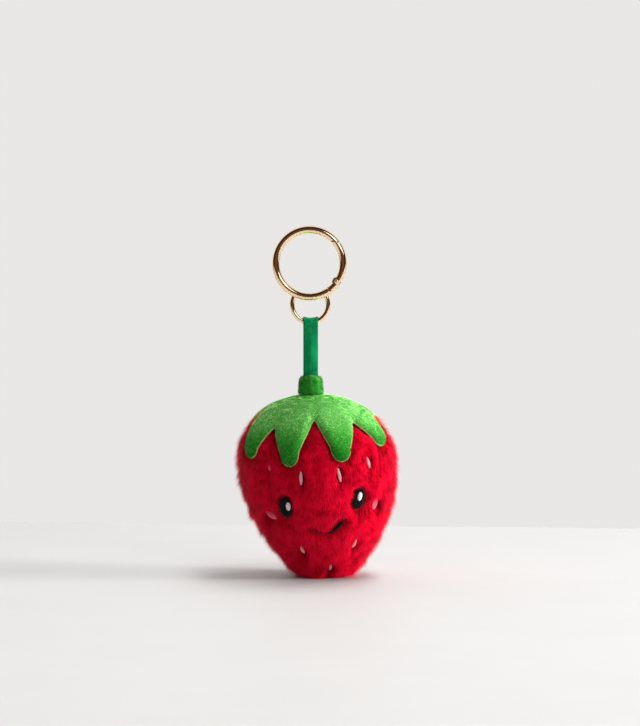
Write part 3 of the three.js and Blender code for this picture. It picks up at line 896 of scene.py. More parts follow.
def ribbon_mesh(ply):
    """The folded strip as a closed sheet, with lay giving each point's place across and along it."""
    columns = np.linspace(-RIBBON_HALF, RIBBON_HALF, 23)
    layers = []
    for side in (0.0, ply):
        sheet = []
        for x in columns:
            thin = 0.5 * ply * (abs(x) / RIBBON_HALF) ** 14
            path = ribbon_path(x, side + (thin if side == 0 else -thin))
            sheet.append(np.column_stack([np.full(len(path), RIBBON_X + x), path]))
        layers.append(sheet)
    inner, outer = np.array(layers[0]), np.array(layers[1])
    rows = inner.shape[1]
    verts, faces = lofted([np.concatenate([outer[:, j], inner[::-1, j]]) for j in range(rows)])
    steps = np.linalg.norm(np.diff(outer[len(columns) // 2], axis=0), axis=1)
    along = np.concatenate([[0], np.cumsum(steps)])
    across = np.concatenate([columns, columns[::-1]])
    lay = np.zeros((len(verts), 3))
    lay[: rows * len(across), 0] = np.tile(across, rows)
    lay[: rows * len(across), 1] = np.repeat(along, len(across))
    return verts, faces, lay


class KEYCHAIN_OT_ribbon(bpy.types.Operator):
    """Make the ribbon that is folded over the loop and sewn into the stem"""

    bl_idname = "keychain.ribbon"
    bl_label = "Ribbon"

    def execute(self, context):
        settings = context.scene.keychain_ribbon
        cloth = ribbon_material(settings)
        verts, faces, lay = ribbon_mesh(settings.ply)
        ribbon = make_piece("ribbon", verts, faces, cloth)
        write_attribute(ribbon.data, "lay", "FLOAT_VECTOR", lay)
        sharpened(ribbon, 60)
        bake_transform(ribbon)
        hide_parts("ribbon_fold", "ribbon_strap")

        half = settings.ply + 0.06 * MM
        section = [(-1, -0.6), (-0.9, -1), (0.9, -1), (1, -0.6), (1, 0.6), (0.9, 1), (-0.9, 1), (-1, 0.6)]
        levels = np.linspace(TAIL_LOW.z, RIBBON_END + 0.1 * MM, 28)
        rings = [[(RIBBON_X + RIBBON_HALF * a, half * b, z) for a, b in section] for z in levels]
        verts, faces = lofted(rings)
        hem = make_piece("ribbon_end", verts, faces, cloth)
        lay = np.stack([verts[:, 0] - RIBBON_X, RIBBON_END - verts[:, 2], 0 * verts[:, 2]], -1)
        write_attribute(hem.data, "lay", "FLOAT_VECTOR", lay)
        sharpened(hem, 40)
        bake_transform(hem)
        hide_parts("ribbon_tail")
        return {"FINISHED"}


# ---- plush body


# In mm: how wide and deep a dimple each kind of patch pulls, and the half width and height cleared of pile
DIMPLES = {"seed": (3.1, 1.3), "eye": (6.0, 1.3), "cheek": (3.6, 1.1)}
CLEARINGS = {"eye": (3.6, 5.0), "cheek": (2.8, 2.1), "seed": (0.9, 2.6)}
MOUTH_DIMPLE = (2.4 * MM, 0.9 * MM)
BASE_FLAT = 0.6 * MM  # the cloth's height over the table, which the pile fills
AIR_PRESSURE = 4
STUFFING_FRAMES = 20
MOST_STUFFING = 1.2 * MM


def patch_spots():
    """(centre, how wide, how deep) of each dimple that a stitched patch pulls into the plush."""
    names = SEEDS + [f"{kind}_{side}" for side in ("left", "right") for kind in ("eye", "cheek")]
    return [(centre(name), *(size * MM for size in DIMPLES[name.split("_")[0]])) for name in names]


def mouth_line(count=41):
    """Points along the mouth: a shallow curve through its CAD solid's box, lower in the middle."""
    low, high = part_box("mouth")
    middle_y = (low.y + high.y) / 2
    left, left_level = locate((low.x + 0.5 * MM, middle_y, high.z - 2.1 * MM))
    right, right_level = locate((high.x - 0.5 * MM, middle_y, high.z - 0.4 * MM))
    share = np.linspace(0, 1, count)
    sag = (np.sin(np.pi * share) - 0.12 * np.sin(2 * np.pi * share)) * 0.165
    around = left + (right - left) * share
    level = left_level + (right_level - left_level) * share - sag
    return around, level


def dimple_depth(points):
    """How far the stitches pull each point of the cloth inwards."""
    depth = np.zeros(len(points))
    for middle, wide, deep in patch_spots():
        away = np.linalg.norm(points - np.array(middle), axis=1)
        depth = np.maximum(depth, deep * np.exp(-((away / wide) ** 2)))
    line = skin(*mouth_line(), 0.0)[0]
    away = np.linalg.norm(points[:, None] - line[None], axis=2).min(axis=1)
    wide, deep = MOUTH_DIMPLE
    return np.maximum(depth, deep * np.exp(-((away / wide) ** 2)))


def body_rings(columns, rows, inward=0.0):
    """Rings of points up the body, from the middle of its flat base to its crest."""
    around = np.arange(columns) * 360 / columns
    rings = []
    for share in (0.3, 0.65, 0.9):
        edge, _ = skin(around, BASE_LEVEL * 0.995, -inward)
        middle = edge.mean(axis=0)
        ring = middle + (edge - middle) * share
        ring[:, 2] = BASE_Z + BASE_FLAT + inward
        rings.append(ring)
    for level in np.linspace(BASE_LEVEL * 0.985, 1.53, rows):
        ring, _ = skin(around, level, -inward)
        ring[:, 2] = np.maximum(ring[:, 2], BASE_Z + BASE_FLAT + inward)
        rings.append(ring)
    return np.array(rings)


def stuffed(points, faces, pinned, cap):
    """How a light cloth simulation with air inside moves a closed mesh, held at its pinned points."""
    piece = make_piece("stuffing_test", points, faces, None)
    group = piece.vertex_groups.new(name="pin")
    for index, weight in enumerate(pinned):
        group.add([index], float(weight), "REPLACE")
    cloth = piece.modifiers.new("Cloth", "CLOTH")
    for name, value in {"tension": 12, "compression": 12, "shear": 6, "bending": 0.4}.items():
        setattr(cloth.settings, f"{name}_stiffness", value)
    cloth.settings.quality = 6
    cloth.settings.mass = 0.15
    cloth.settings.use_pressure = True
    cloth.settings.uniform_pressure_force = AIR_PRESSURE
    cloth.settings.vertex_group_mass = "pin"
    cloth.settings.effector_weights.gravity = 0
    cloth.collision_settings.use_collision = False
    cloth.point_cache.frame_start = 1
    cloth.point_cache.frame_end = STUFFING_FRAMES
    for step in range(1, STUFFING_FRAMES + 1):
        bpy.context.scene.frame_set(step)
    graph = bpy.context.evaluated_depsgraph_get()
    moved = read(piece.evaluated_get(graph).data.vertices, "co") - points
    bpy.context.scene.frame_set(1)
    bpy.data.objects.remove(piece)
    far = np.linalg.norm(moved, axis=1, keepdims=True)
    moved *= np.minimum(1, cap / np.maximum(far, 1e-12))
    return moved * (1 - pinned[:, None])


def body_cover():
    """The whole cloth cover as (vertices, faces), swollen by its wadding and dimpled by its stitches."""
    verts, faces = lofted(body_rings(72, 44))
    spots = dimple_depth(verts) / (1.5 * MM)
    low = np.clip(1 - (verts[:, 2] - BASE_Z) / (6 * MM), 0, 1)
    high = np.clip((verts[:, 2] - (BASE_Z + 70 * MM)) / (4 * MM), 0, 1)
    pinned = np.clip(np.maximum.reduce([spots, low, high]), 0, 1)
    verts = verts + stuffed(verts, faces, pinned, MOST_STUFFING)
    piece = subdivided(make_piece("body_cover", verts, faces, None), 2)
    points, normals = points_and_normals(piece.data)
    points = points - normals * dimple_depth(points)[:, None]
    x, y, z = points.T
    wave = np.sin(x / (5.1 * MM) + 1.3) * np.sin(z / (6.3 * MM)) * np.cos(y / (4.7 * MM))
    flat = np.clip((z - BASE_Z) / (8 * MM), 0, 1)
    move_points(piece.data, points + normals * (0.35 * MM * wave * flat)[:, None])
    return piece


def patch_axes(node):
    """A stitched patch's centre, the cloth's point under it, and the directions right, up and out."""
    middle = np.array(centre(node))
    ground, out = skin(*locate(middle))
    right = np.cross((0, 0, 1), out)
    right /= np.linalg.norm(right)
    return middle, ground, right, np.cross(out, right), out


def patch_clearance(points):
    """From 0 on a stitched patch to 1 where the pile is whole. Pile above a patch is cut back further."""
    clear = np.ones(len(points))
    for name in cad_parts:
        kind = name.split("_")[0]
        if kind not in CLEARINGS or "highlight" in name:
            continue
        wide, high = (size * MM for size in CLEARINGS[kind])
        middle, _, right, up, out = patch_axes(name)
        away = points - middle - up * (0.8 * MM)
        share = np.hypot(away @ right / (wide + 0.8 * MM), away @ up / (high + 1.4 * MM))
        if name == HIDDEN_SEED:
            share = share * 2
        share = np.where(np.abs(away @ out) < 8 * MM, share, 9)
        clear = np.minimum(clear, np.clip((share - 0.85) / 0.6, 0, 1))
    line = skin(*mouth_line(), 0.0)[0] + (0, 0, 1.5 * MM)
    reach = np.linspace(0.7, 1.7, len(line)) * MM
    near = (np.linalg.norm(points[:, None] - line[None], axis=2) / reach).min(axis=1)
    return np.minimum(clear, np.clip(near - 1.1, 0.0, 1))


def calyx_shade(points):
    """From 0 under the calyx to 1 outside it. Along its edge the pile is pressed down."""
    around = np.degrees(np.arctan2(points[:, 0] - CREST_X, -points[:, 1] / DEPTH))
    under = calyx_edge_up(around) < points[:, 2] - BASE_Z
    away = edge_distance(points) / MM
    return np.where(under, np.clip(0.35 * (1 - away / 1.2), 0, 1), np.clip(0.4 + away / 4, 0, 1))


def nap_direction(points, normals):
    """The way the pile lies: down over the sides, and outwards under the base."""
    down = np.array((0.0, 0, -1)) - normals * (-normals[:, 2:3])
    outward = points - (BASE_X, 0, 0)
    outward[:, 2] = 0
    outward -= normals * np.sum(outward * normals, axis=1, keepdims=True)
    share = np.clip((points[:, 2:3] - BASE_Z) / (3 * MM), 0, 1)
    size = np.maximum(np.linalg.norm(outward, axis=1, keepdims=True), 1e-9)
    nap = down * share + outward / size * (1 - share)
    return nap / np.maximum(np.linalg.norm(nap, axis=1, keepdims=True), 1e-9)


def part_of(source, name, wanted, material=None):
    """A new piece from the faces of source whose middles are wanted, with its point attributes."""
    piece = source.copy()
    piece.data = source.data.copy()
    piece.name = piece.data.name = name
    bpy.context.scene.collection.objects.link(piece)
    mesh = piece.data
    keep = wanted(read(mesh.polygons, "center"))
    shape = bmesh.new()
    shape.from_mesh(mesh)
    shape.faces.ensure_lookup_table()
    bmesh.ops.delete(shape, geom=[shape.faces[i] for i in np.flatnonzero(~keep)], context="FACES")
    shape.to_mesh(mesh)
    shape.free()
    mesh.materials.clear()
    if material:
        mesh.materials.append(material)
    return piece


def thickened(piece, thickness):
    wall = piece.modifiers.new("Wall", "SOLIDIFY")
    wall.thickness = thickness
    wall.offset = -1
    return bake(piece)


BASE_TOP = BASE_Z + 1.3 * MM
MID_Z = BASE_Z + 34 * MM
PANELS = {
    "front": lambda p: (p[:, 1] < 0) & (p[:, 2] > BASE_TOP),
    "back": lambda p: (p[:, 1] >= 0) & (p[:, 2] > BASE_TOP),
    "base": lambda p: p[:, 2] <= BASE_TOP,
}
FUR_ZONES = {
    "front_upper": lambda p: PANELS["front"](p) & (p[:, 2] >= MID_Z),
    "front_lower": lambda p: PANELS["front"](p) & (p[:, 2] < MID_Z),
    "back_upper": lambda p: PANELS["back"](p) & (p[:, 2] >= MID_Z),
    "back_lower": lambda p: PANELS["back"](p) & (p[:, 2] < MID_Z),
    "base": PANELS["base"],
}


def grow_pile(piece, material, **values):
    """Turns a piece of surface into the pile that grows on it. values are the pile tree's inputs."""
    tree = bpy.data.node_groups.get("Pile") or pile_tree()
    run_tree(piece, tree, Material=material, **values)


class KEYCHAIN_OT_body(bpy.types.Operator):
    """Make the body's plush cover, its pile and its wadding"""

    bl_idname = "keychain.body"
    bl_label = "Plush Body"

    def execute(self, context):
        settings = context.scene.keychain_fur
        backing = backing_material("plush_backing", (0.16, 0, 0.004), (0.3, 0, 0.01), 2 * MM)
        fur = pile_material("long_pile", (settings.root, settings.middle, settings.tip), 0.3, 3.4 * MM, 0.95)
        cover = body_cover()
        points, normals = points_and_normals(cover.data)
        pile = patch_clearance(points) * calyx_shade(points)
        pile *= 0.32 + 0.7 * np.clip((points[:, 2] - BASE_Z) / (3.4 * MM) - 0.6, 0, 1)
        write_attribute(cover.data, "pile", "FLOAT", pile)
        write_attribute(cover.data, "nap", "FLOAT_VECTOR", nap_direction(points, normals))

        for name, wanted in PANELS.items():
            panel = part_of(cover, f"plush_{name}", wanted, backing)
            thickened(panel, 0.8 * MM)
            finish(panel, "plush", "red_plush", f"body_{name}")

        width = settings.width * 1
        size = {"Length": settings.length, "Height": settings.height, "Width": width, "Steps": 3}
        lie = {"Straying": 0.3, "Swirl": 0.75, "Swirl_Size": 7 * MM, "Softness": 0.72, "Tufts": 1.5}
        density = settings.density * 1 / MM**2
        for index, (name, wanted) in enumerate(FUR_ZONES.items()):
            strands = part_of(cover, f"fur_{name}", wanted)
            grow_pile(strands, fur, Density=density, Seed=settings.seed + index, **size, **lie)
            co = read(strands.data.vertices, "co")
            co[:, 2] = np.maximum(co[:, 2], BASE_Z + 0.02 * MM)
            strands.data.vertices.foreach_set("co", co.ravel())
            finish(strands, "plush", "red_plush")
        bpy.data.objects.remove(cover)

        wadding = backing_material("wadding", (0.62, 0.6, 0.56), (0.85, 0.84, 0.81), 5 * MM)
        fill = make_piece("body_wadding", *lofted(body_rings(64, 34, inward=1.8 * MM)), wadding)
        lumpy(fill, 0.35 * MM)
        finish(fill, "plush", "stuffing", "body_stuffing")
        return {"FINISHED"}


def lumpy(piece, amount):
    """Moves a wadding piece's points in and out a little, as fibre clumps do."""
    points, normals = points_and_normals(piece.data)
    wave = np.sin(points @ (900, 400, 700)) * np.sin(points @ (-500, 800, 1100) + 1)
    move_points(piece.data, points + normals * (amount * (wave - 1))[:, None])


# ---- calyx

# Degrees round and mm above the base of the leaves' tips, and of the notch after each
TIPS = ((-57, 54), (-20.5, 51.5), (18.7, 53.6), (59.5, 58.8), (125, 57), (162, 54), (200, 53), (236, 56))
NOTCHES = ((-38.5, 66.4), (-1, 69.6), (38.5, 68.6), (86, 75.4), (144, 70), (181, 70), (218, 70), (278, 75.6))
CALYX_EDGE = tuple(stop for pair in zip(TIPS, NOTCHES) for stop in pair)
CALYX_BED = 1.15 * MM  # the cloth is this thick under the calyx
CALYX_COLUMNS, CALYX_ROWS = 480, 34
LEAF_ROUNDING = 2.9 * MM
PIPING_R = 0.36 * MM


def calyx_edge(share):
    """The degrees round and height above the base of the calyx's edge at a share of the way round."""
    stops = np.array(CALYX_EDGE + ((CALYX_EDGE[0][0] + 360, CALYX_EDGE[0][1]),), float)
    spot = np.asarray(share) % 1 * len(CALYX_EDGE)
    first = np.minimum(spot.astype(int), len(CALYX_EDGE) - 1)
    part = spot - first
    from_notch = first % 2 == 1
    side = np.where(from_notch, 1 - part, part)
    tip = np.where(from_notch, stops[first + 1, 1], stops[first, 1])
    notch = np.where(from_notch, stops[first, 1], stops[first + 1, 1])
    # A leaf's sides are nearly straight and its tip is a round end
    body = 0.5 * (1 - np.sqrt(np.clip(1 - (np.minimum(side, 0.36) / 0.36) ** 2, 0, 1)))
    slope = np.clip((side - 0.36) / 0.64, 0, 1) ** 0.92
    slope = (slope - 2 * np.clip(slope - 0.75, 0, 1) ** 2) / 0.875
    rise = np.where(side < 0.36, 0.62 * body, 0.31 + 0.69 * slope)
    around = stops[first, 0] + (stops[first + 1, 0] - stops[first, 0]) * part
    return around, (tip + (notch - tip) * rise) * MM


def calyx_edge_up(around):
    """How high above the base the calyx's edge is at these degrees round."""
    share = np.linspace(0, 1, 1601)[:-1]
    at, up = calyx_edge(share)
    at = at - CALYX_EDGE[0][0]
    turned = (np.asarray(around) - CALYX_EDGE[0][0]) % 360
    return np.interp(turned, at, up)


def calyx_grid(columns, rows):
    """Degrees round and level of a grid over the calyx, each column running from its edge to its middle."""
    share = np.arange(columns) / columns
    around, up = calyx_edge(share)
    low = level_at(up)
    high = math.acos(1.2 * MM / BODY_R)
    along = np.linspace(0, 1, rows) ** 1.35
    level = low[None] + (high - low[None]) * along[:, None]
    return np.broadcast_to(around, level.shape), level


def edge_distance(points):
    """The distance of each point from the calyx's edge line on the cloth."""
    around, up = calyx_edge(np.arange(960) / 960)
    line, _ = skin(around, level_at(up))
    found = np.full(len(points), 1.0)
    for start in range(0, len(line), 160):
        part = line[start : start + 160]
        found = np.minimum(found, np.linalg.norm(points[:, None] - part[None], axis=2).min(axis=1))
    return found


def calyx_sheet(columns, rows, low, high):
    """A closed sheet over the calyx's grid between two arrays of offsets."""
    around, level = calyx_grid(columns, rows)
    under, _ = skin(around, level, low)
    over, _ = skin(around, level, high)
    rings = np.concatenate([over, under[::-1]])
    verts = rings.reshape(-1, 3)
    return verts, tube_faces(2 * rows, columns, closed_along=True)


class KEYCHAIN_OT_calyx(bpy.types.Operator):
    """Make the calyx's padded leaves, their lining, their pile and the stem"""

    bl_idname = "keychain.calyx"
    bl_label = "Calyx and Stem"

    def execute(self, context):
        settings = context.scene.keychain_velour
        backing = backing_material("velour_backing", (0.02, 0.3, 0.02), (0.08, 0.5, 0.04), 1.2 * MM)
        colours = (settings.root, settings.middle, settings.tip)
        # The velour is painted lighter towards the calyx's crown, as painted light from overhead
        velour = pile_material("short_pile", colours, 0.25, 0.9 * MM, 1.5, 0.9, 0.2)
        # Painted shade: the stem's pile is a darker copy of the calyx's velour
        deep = [tuple(share * c for share, c in zip((0.18, 0.44, 0.34), colour)) for colour in colours]
        shaded_stem_velour = pile_material("stem_pile", deep, 0.1, 0.9 * MM, 1.4, stray=0.2)
        lining = backing_material("lining_cloth", (0.5, 0.56, 0.16), (0.78, 0.8, 0.36), 0.6 * MM)
        columns, rows = CALYX_COLUMNS, CALYX_ROWS
        around, level = calyx_grid(columns, rows)
        ground, _ = skin(around, level)
        inside = edge_distance(ground.reshape(-1, 3)).reshape(around.shape)
        round_off = np.sqrt(1 - (1 - np.clip(inside / LEAF_ROUNDING, 0, 1)) ** 2)
        crease = np.sin(np.radians(around * 11 + 40)) * np.sin(level * 23)
        thick = settings.puff * round_off * (1 + 0.06 * crease)
        # Shallow valleys run up from the notches to the stem
        share = np.arange(columns) / columns * len(CALYX_EDGE)
        valley = np.exp(-(((share % 2) - 1) / 0.22) ** 2)[None] * np.clip(1 - level / 1.45, 0, 1)
        thick = thick * (1 - 0.32 * valley)
        verts, faces = calyx_sheet(columns, rows, CALYX_BED + 0.28 * MM, CALYX_BED + 0.32 * MM + thick)
        leaves = make_piece("calyx_leaves", verts, faces, backing)

        points, normals = points_and_normals(leaves.data)
        outer = np.zeros(len(points))
        outer[: columns * rows] = 1
        write_attribute(leaves.data, "pile", "FLOAT", outer)
        write_attribute(leaves.data, "nap", "FLOAT_VECTOR", nap_direction(points, normals))
        density = settings.density * 1 / MM**2
        size = {"Length": settings.length, "Height": 0.36 * MM, "Width": 0.15 * MM, "Steps": 2}
        lie = {"Straying": 0.32, "Swirl": 0.9, "Swirl_Size": 2.2 * MM, "Softness": 0.6}
        halves = {"front": lambda p: p[:, 1] < 0, "back": lambda p: p[:, 1] >= 0}
        for seed, (name, wanted) in enumerate(halves.items(), 31):
            nap = part_of(leaves, f"calyx_pile_{name}", wanted)
            grow_pile(nap, velour, Density=density, Seed=seed, **size, **lie)
            finish(nap, "plush", "green_velour")
        finish(leaves, "plush", "green_velour", "calyx_top")

        under = calyx_sheet(columns, 16, CALYX_BED, CALYX_BED + 0.25 * MM)
        edge_around, edge_up = calyx_edge(np.arange(960) / 960)
        line, out = skin(edge_around, level_at(edge_up), CALYX_BED + 0.26 * MM)
        along = np.roll(line, -1, axis=0) - np.roll(line, 1, axis=0)
        along /= np.linalg.norm(along, axis=1, keepdims=True)
        side = np.cross(along, out)
        seam = [line + PIPING_R * (math.cos(a) * side + math.sin(a) * out) for a in circle(8)]
        seam = np.stack(seam, axis=1)
        piping = (seam.reshape(-1, 3), tube_faces(len(line), 8, closed_along=True))
        sheet = make_piece("calyx_lining_edge", *joined(under, piping), lining)
        finish(sheet, "plush", "calyx_lining", "calyx_lining")
        self.stem(settings, backing, shaded_stem_velour)
        return {"FINISHED"}

    def stem(self, settings, backing, velour):
        """A stuffed tube with a round top that is drawn in where the ribbon enters."""
        sides, rings = 72, []
        height = STEM_HIGH.z - STEM_LOW.z
        steps = [(1.0, -0.05), (1.07, 0.03), (1.06, 0.12), (1.04, 0.3), (1.03, 0.45), (1.01, 0.58)]
        dome = np.radians((14, 28, 42, 56, 69, 80, 87))
        steps += [(0.99, 0.68)] + [(0.98 * math.cos(a), 0.7 + 0.36 * math.sin(a)) for a in dome]
        turn = circle(sides)
        for share, rise in steps:
            radius = STEM_R * share * (1 + 0.02 * np.sin(5 * turn + 9 * rise) + 0.015 * np.sin(11 * turn))
            x, y = radius * np.cos(turn), 0.94 * radius * np.sin(turn)
            z = np.full(sides, STEM_LOW.z + height * rise)
            slit = np.exp(-((y / (1.3 * MM)) ** 2))
            slit *= np.clip((RIBBON_HALF + 1 * MM - np.abs(x)) / (1 * MM), 0, 1)
            z = z - 1.3 * MM * slit * np.clip((rise - 0.75) / 0.2, 0, 1)
            rings.append(np.stack([RIBBON_X + x, y, z], -1))
        tube = subdivided(make_piece("stem", *lofted(rings), backing), 1)
        points, normals = points_and_normals(tube.data)
        write_attribute(tube.data, "pile", "FLOAT", np.where(points[:, 2] > STEM_LOW.z - 0.2 * MM, 1.0, 0.0))
        outward = (points - (RIBBON_X, 0, 0)) * (1, 1, 0)
        nap = np.array((0, 0, -1.0)) + normals * normals[:, 2:3] + outward * 60
        write_attribute(tube.data, "nap", "FLOAT_VECTOR", nap / np.linalg.norm(nap, axis=1, keepdims=True))
        pile = part_of(tube, "stem_pile", lambda p: p[:, 2] > -1)
        size = {"Length": settings.length, "Height": 0.5 * MM, "Width": 0.13 * MM, "Steps": 2}
        lie = {"Straying": 0.6, "Swirl": 1.2, "Swirl_Size": 2 * MM, "Softness": 0.6}
        grow_pile(pile, velour, Density=16 / MM**2, Seed=5, **size, **lie)
        finish(pile, "plush", "green_velour")
        finish(tube, "plush", "green_velour", "stem_cover")

        wadding = bpy.data.materials["wadding"]
        low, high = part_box("stem_stuffing")
        radius = (high.x - low.x) / 2
        rings = []
        for share in np.linspace(0, 1, 9):
            r = radius * (0.8 + 0.2 * math.sin(math.pi * share))
            z = low.z + (high.z - low.z) * share
            rings.append(np.stack([RIBBON_X + r * np.cos(turn), r * np.sin(turn), np.full(sides, z)], -1))
        plug = make_piece("stem_wadding", *lofted(rings), wadding)
        lumpy(plug, 0.15 * MM)
        finish(plug, "plush", "stuffing", "stem_stuffing")


# ---- embroidery


def lay_on_plush(piece, node, lift, tilt):
    """Moves a flat stitched patch from the origin to its CAD node's place, tangent to the dimpled cloth."""
    _, base, right, up, out = patch_axes(node)
    base = base - out * dimple_depth(base[None])[0]
    turn = Matrix.Rotation(-math.radians(tilt), 3, "Z")
    axes = Matrix((right, up, out)).transposed() @ turn
    piece.data.transform(Matrix.Translation(base + out * lift) @ axes.to_4x4())
    return piece


def stitched(name, material, settings, half_width, half_height, puff):
    """A satin-stitched oval at the origin."""
    piece = make_piece(name, [(0, 0, 0)], [], material)
    tree = bpy.data.node_groups.get("Satin Stitch") or satin_tree()
    size = {"Half_Width": half_width, "Half_Height": half_height, "Puff": puff}
    return run_tree(piece, tree, Pitch=settings.pitch, Thread=settings.thread, Material=material, **size)


class KEYCHAIN_OT_face(bpy.types.Operator):
    """Stitch the eyes, their highlights, the cheeks and the mouth"""

    bl_idname = "keychain.face"
    bl_label = "Face"

    def execute(self, context):
        settings = context.scene.keychain_stitches
        black = thread_material("black_thread", tuple(settings.black), 0.0)
        white = thread_material("white_thread", tuple(settings.white))
        pink = thread_material("pink_thread", tuple(settings.pink))
        for side, tilt in (("left", 4), ("right", 6)):
            eye = stitched(f"{side}_eye", black, settings, 3.1 * MM, 4.5 * MM, 0.9 * MM)
            lay_on_plush(eye, f"eye_{side}", 1.35 * MM, tilt)
            finish(eye, "plush", "black_thread", f"eye_{side}")
            glint = stitched(f"{side}_eye_highlight", white, settings, 1.05 * MM, 1.9 * MM, 0.5 * MM)
            lay_on_plush(glint, f"eye_highlight_{side}", 2.2 * MM, tilt)
            finish(glint, "plush", "white_thread", f"eye_highlight_{side}")
        for side, tilt, wide, high in (("left", 26, 3.1, 1.45), ("right", 8, 1.7, 2.5)):
            cheek = stitched(f"{side}_cheek", pink, settings, wide * MM, high * MM, 0.6 * MM)
            lay_on_plush(cheek, f"cheek_{side}", 0.8 * MM, tilt)
            finish(cheek, "plush", "pink_thread", f"cheek_{side}")

        around, level = mouth_line()
        points, out = skin(around, level)
        points = points + out * (2.1 * MM - 0.8 * dimple_depth(points))[:, None]
        line = make_piece("smile", points, [], None, False)
        line.data.edges.add(len(points) - 1)
        ends = [i for k in range(len(points) - 1) for i in (k, k + 1)]
        line.data.edges.foreach_set("vertices", ends)
        write_attribute(line.data, "out", "FLOAT_VECTOR", out)
        write_attribute(line.data, "weight", "FLOAT", 0.3 + 1.8 * np.linspace(0, 1, len(points)) ** 1.7)
        size = {"Pitch": 0.5 * MM, "Stitch_Length": 1.4 * MM, "Thread": 0.45 * MM, "Slant": 0.3}
        run_tree(line, line_stitch_tree(), Material=black, **size)
        finish(line, "plush", "black_thread", "mouth")
        return {"FINISHED"}


class KEYCHAIN_OT_seeds(bpy.types.Operator):
    """Stitch the seeds"""

    bl_idname = "keychain.seeds"
    bl_label = "Seeds"

    def execute(self, context):
        settings = context.scene.keychain_stitches
        pale = thread_material("pale_pink_thread", tuple(settings.seed_pink))
        tilts = {"front_2": -14, "front_3": -18, "front_5": -11, "front_6": 8, "back_1": 8, "back_4": -8}
        halves = {"front_1": 3.0, "front_2": 3.1, "front_4": 2.0, "front_5": 2.2}
        halves |= {"front_6": 2.2, "front_7": 1.7}
        for name in SEEDS:
            place_name = name.removeprefix("seed_")
            half = halves.get(place_name, 2.6) * MM
            seed = stitched(f"stitched_{name}", pale, settings, half, 0.66 * MM, 0.6 * MM)
            lift = {HIDDEN_SEED: 1.0, "seed_front_6": 2.1}.get(name, 1.5) * MM
            lay_on_plush(seed, name, lift, 90 + tilts.get(place_name, 0))
            finish(seed, "plush", "pale_pink_thread", name)
        return {"FINISHED"}


# ---- stage


TABLE_ROUGHNESS = 0.55
LIGHTS = (
    # name, where it stands, what it points at, its two sides and its colour
    ("key", (3.8, -0.5, 0.5), (0, 0, -0.08), (0.9, 0.9), (1, 0.985, 0.96)),
    ("front", (0.75, -1.0, 0.55), (0, 0, -0.09), (0.7, 0.7), (1, 0.99, 0.98)),
    ("top", (0.3, 0.02, 0.85), (0.02, 0, -0.1), (0.9, 0.25), (1, 1, 1)),
    ("fill", (-0.75, -0.75, 0.9), (0, 0, -0.08), (0.5, 0.5), (1, 1, 1)),
)
VIEW_CENTRE = Vector((4.6 * MM, 0, -56.9 * MM))
TABLE_BACK, TABLE_SKEW = 0.179, math.tan(math.radians(-4.4))


def stage_sheet(name, corners, material):
    sheet = make_piece(name, corners, [(0, 1, 2, 3)], material, False)
    return sheet


def area_light(name, power, at, target, size, colour):
    light = bpy.data.lights.new(name, "AREA")
    light.shape = "RECTANGLE"
    light.size, light.size_y = size
    light.energy = power
    light.color = colour
    lamp = bpy.data.objects.new(name, light)
    bpy.context.scene.collection.objects.link(lamp)
    lamp.location = at
    lamp.visible_glossy = name == "front"
    lamp.rotation_euler = (Vector(target) - Vector(at)).to_track_quat("-Z", "Y").to_euler()
    return lamp


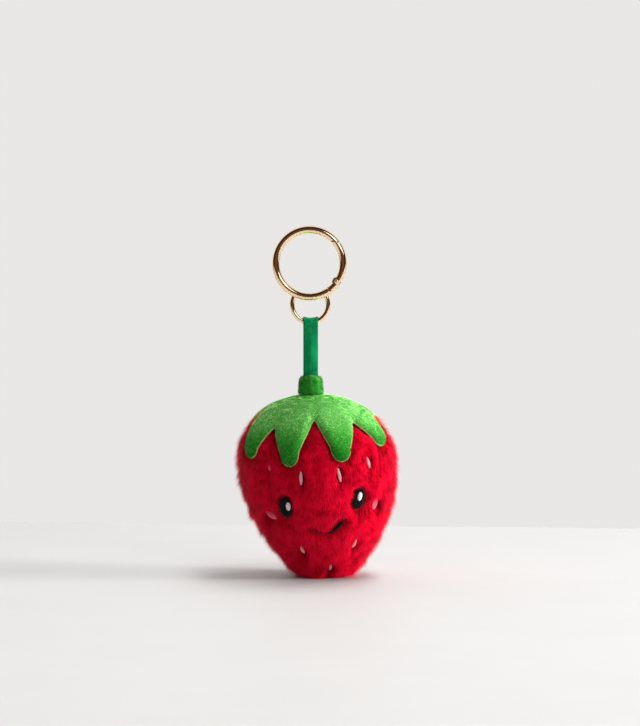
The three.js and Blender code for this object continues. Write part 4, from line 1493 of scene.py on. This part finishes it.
class KEYCHAIN_OT_stage(bpy.types.Operator):
    """Set up the camera, the white table, the lights and the room"""

    bl_idname = "keychain.stage"
    bl_label = "Stage"

    def execute(self, context):
        settings = context.scene.keychain_stage
        scene = context.scene
        camera = bpy.data.cameras.new("camera")
        camera.lens = settings.lens
        camera.clip_start = 0.05
        eye = bpy.data.objects.new("camera", camera)
        scene.collection.objects.link(eye)
        tilt = settings.elevation
        eye.location = VIEW_CENTRE + settings.distance * Vector((0, -math.cos(tilt), math.sin(tilt)))
        eye.rotation_euler = (math.pi / 2 - tilt, 0, 0)
        scene.camera = eye

        white_paint, nodes, shader, where = new_material("white_paint")
        mottle = nodes.noise(where, 30, 3.0)
        white = nodes.ramp(mottle, (0.2, (0.62, 0.617, 0.615)), (0.8, (0.64, 0.637, 0.635)))
        paint(nodes, shader, white, Specular_IOR_Level=0.3)
        shader.inputs["Roughness"].default_value = TABLE_ROUGHNESS
        # The table's far edge runs a little askew, and the pale room is seen beyond it
        back, skew = TABLE_BACK, TABLE_SKEW
        table = [(-2, -0.5), (2, -0.5), (2, back + 2 * skew), (-2, back - 2 * skew)]
        stage_sheet("table", [(x, y, BASE_Z) for x, y in table], white_paint)

        for name, *light in LIGHTS:
            area_light(name, getattr(settings, name), *light)
        self.room(scene)
        scene.view_settings.view_transform = "Standard"
        return {"FINISHED"}

    def room(self, scene):
        """A pale backdrop, and for the light a bright room that is dark on the near side."""
        world = bpy.data.worlds.new("room")
        scene.world = world
        world.use_nodes = True
        nodes = Nodes(world.node_tree)
        light = world.node_tree.nodes["Background"]
        direction = nodes.add("ShaderNodeTexCoord").outputs["Generated"]
        near = nodes.minus(0.5, nodes.times(nodes.split(direction)[1], 0.5))
        pale, dark = (0.88, 0.875, 0.865), (0.03, 0.015, 0.008)
        shade = nodes.ramp(near, (0.36, pale), (0.53, dark), (0.84, dark), (1.0, (0.13, 0.075, 0.04)))
        nodes.tree.links.new(shade, light.inputs["Color"])
        backdrop = nodes.out("ShaderNodeBackground", {0: (0.81, 0.8, 0.79, 1)})
        seen = nodes.add("ShaderNodeLightPath").outputs["Is Camera Ray"]
        both = nodes.out("ShaderNodeMixShader", {0: seen, 1: light.outputs[0], 2: backdrop})
        nodes.tree.links.new(both, world.node_tree.nodes["World Output"].inputs["Surface"])


# ---- add-on

STEPS = ("stage", "ring", "ribbon", "body", "calyx", "face", "seeds")
SETTINGS = {
    "keychain_metal": KeychainMetal,
    "keychain_ribbon": KeychainRibbon,
    "keychain_fur": KeychainFur,
    "keychain_velour": KeychainVelour,
    "keychain_stitches": KeychainStitches,
    "keychain_stage": KeychainStage,
}


class KEYCHAIN_PT_panel(bpy.types.Panel):
    bl_label = "Plush Keychain"
    bl_idname = "KEYCHAIN_PT_panel"
    bl_space_type = "VIEW_3D"
    bl_region_type = "UI"
    bl_category = "Keychain"

    def draw(self, context):
        for step in STEPS:
            self.layout.operator(f"keychain.{step}")


OPERATORS = (
    KEYCHAIN_OT_stage,
    KEYCHAIN_OT_ring,
    KEYCHAIN_OT_ribbon,
    KEYCHAIN_OT_body,
    KEYCHAIN_OT_calyx,
    KEYCHAIN_OT_face,
    KEYCHAIN_OT_seeds,
)


def register():
    for kind in (*SETTINGS.values(), *OPERATORS, KEYCHAIN_PT_panel):
        bpy.utils.register_class(kind)
    for name, kind in SETTINGS.items():
        setattr(bpy.types.Scene, name, PointerProperty(type=kind))


def unregister():
    for name in SETTINGS:
        delattr(bpy.types.Scene, name)
    for kind in reversed((*SETTINGS.values(), *OPERATORS, KEYCHAIN_PT_panel)):
        bpy.utils.unregister_class(kind)


def main():
    register()
    for step in STEPS:
        getattr(bpy.ops.keychain, step)()


if __name__ == "__main__":
    main()
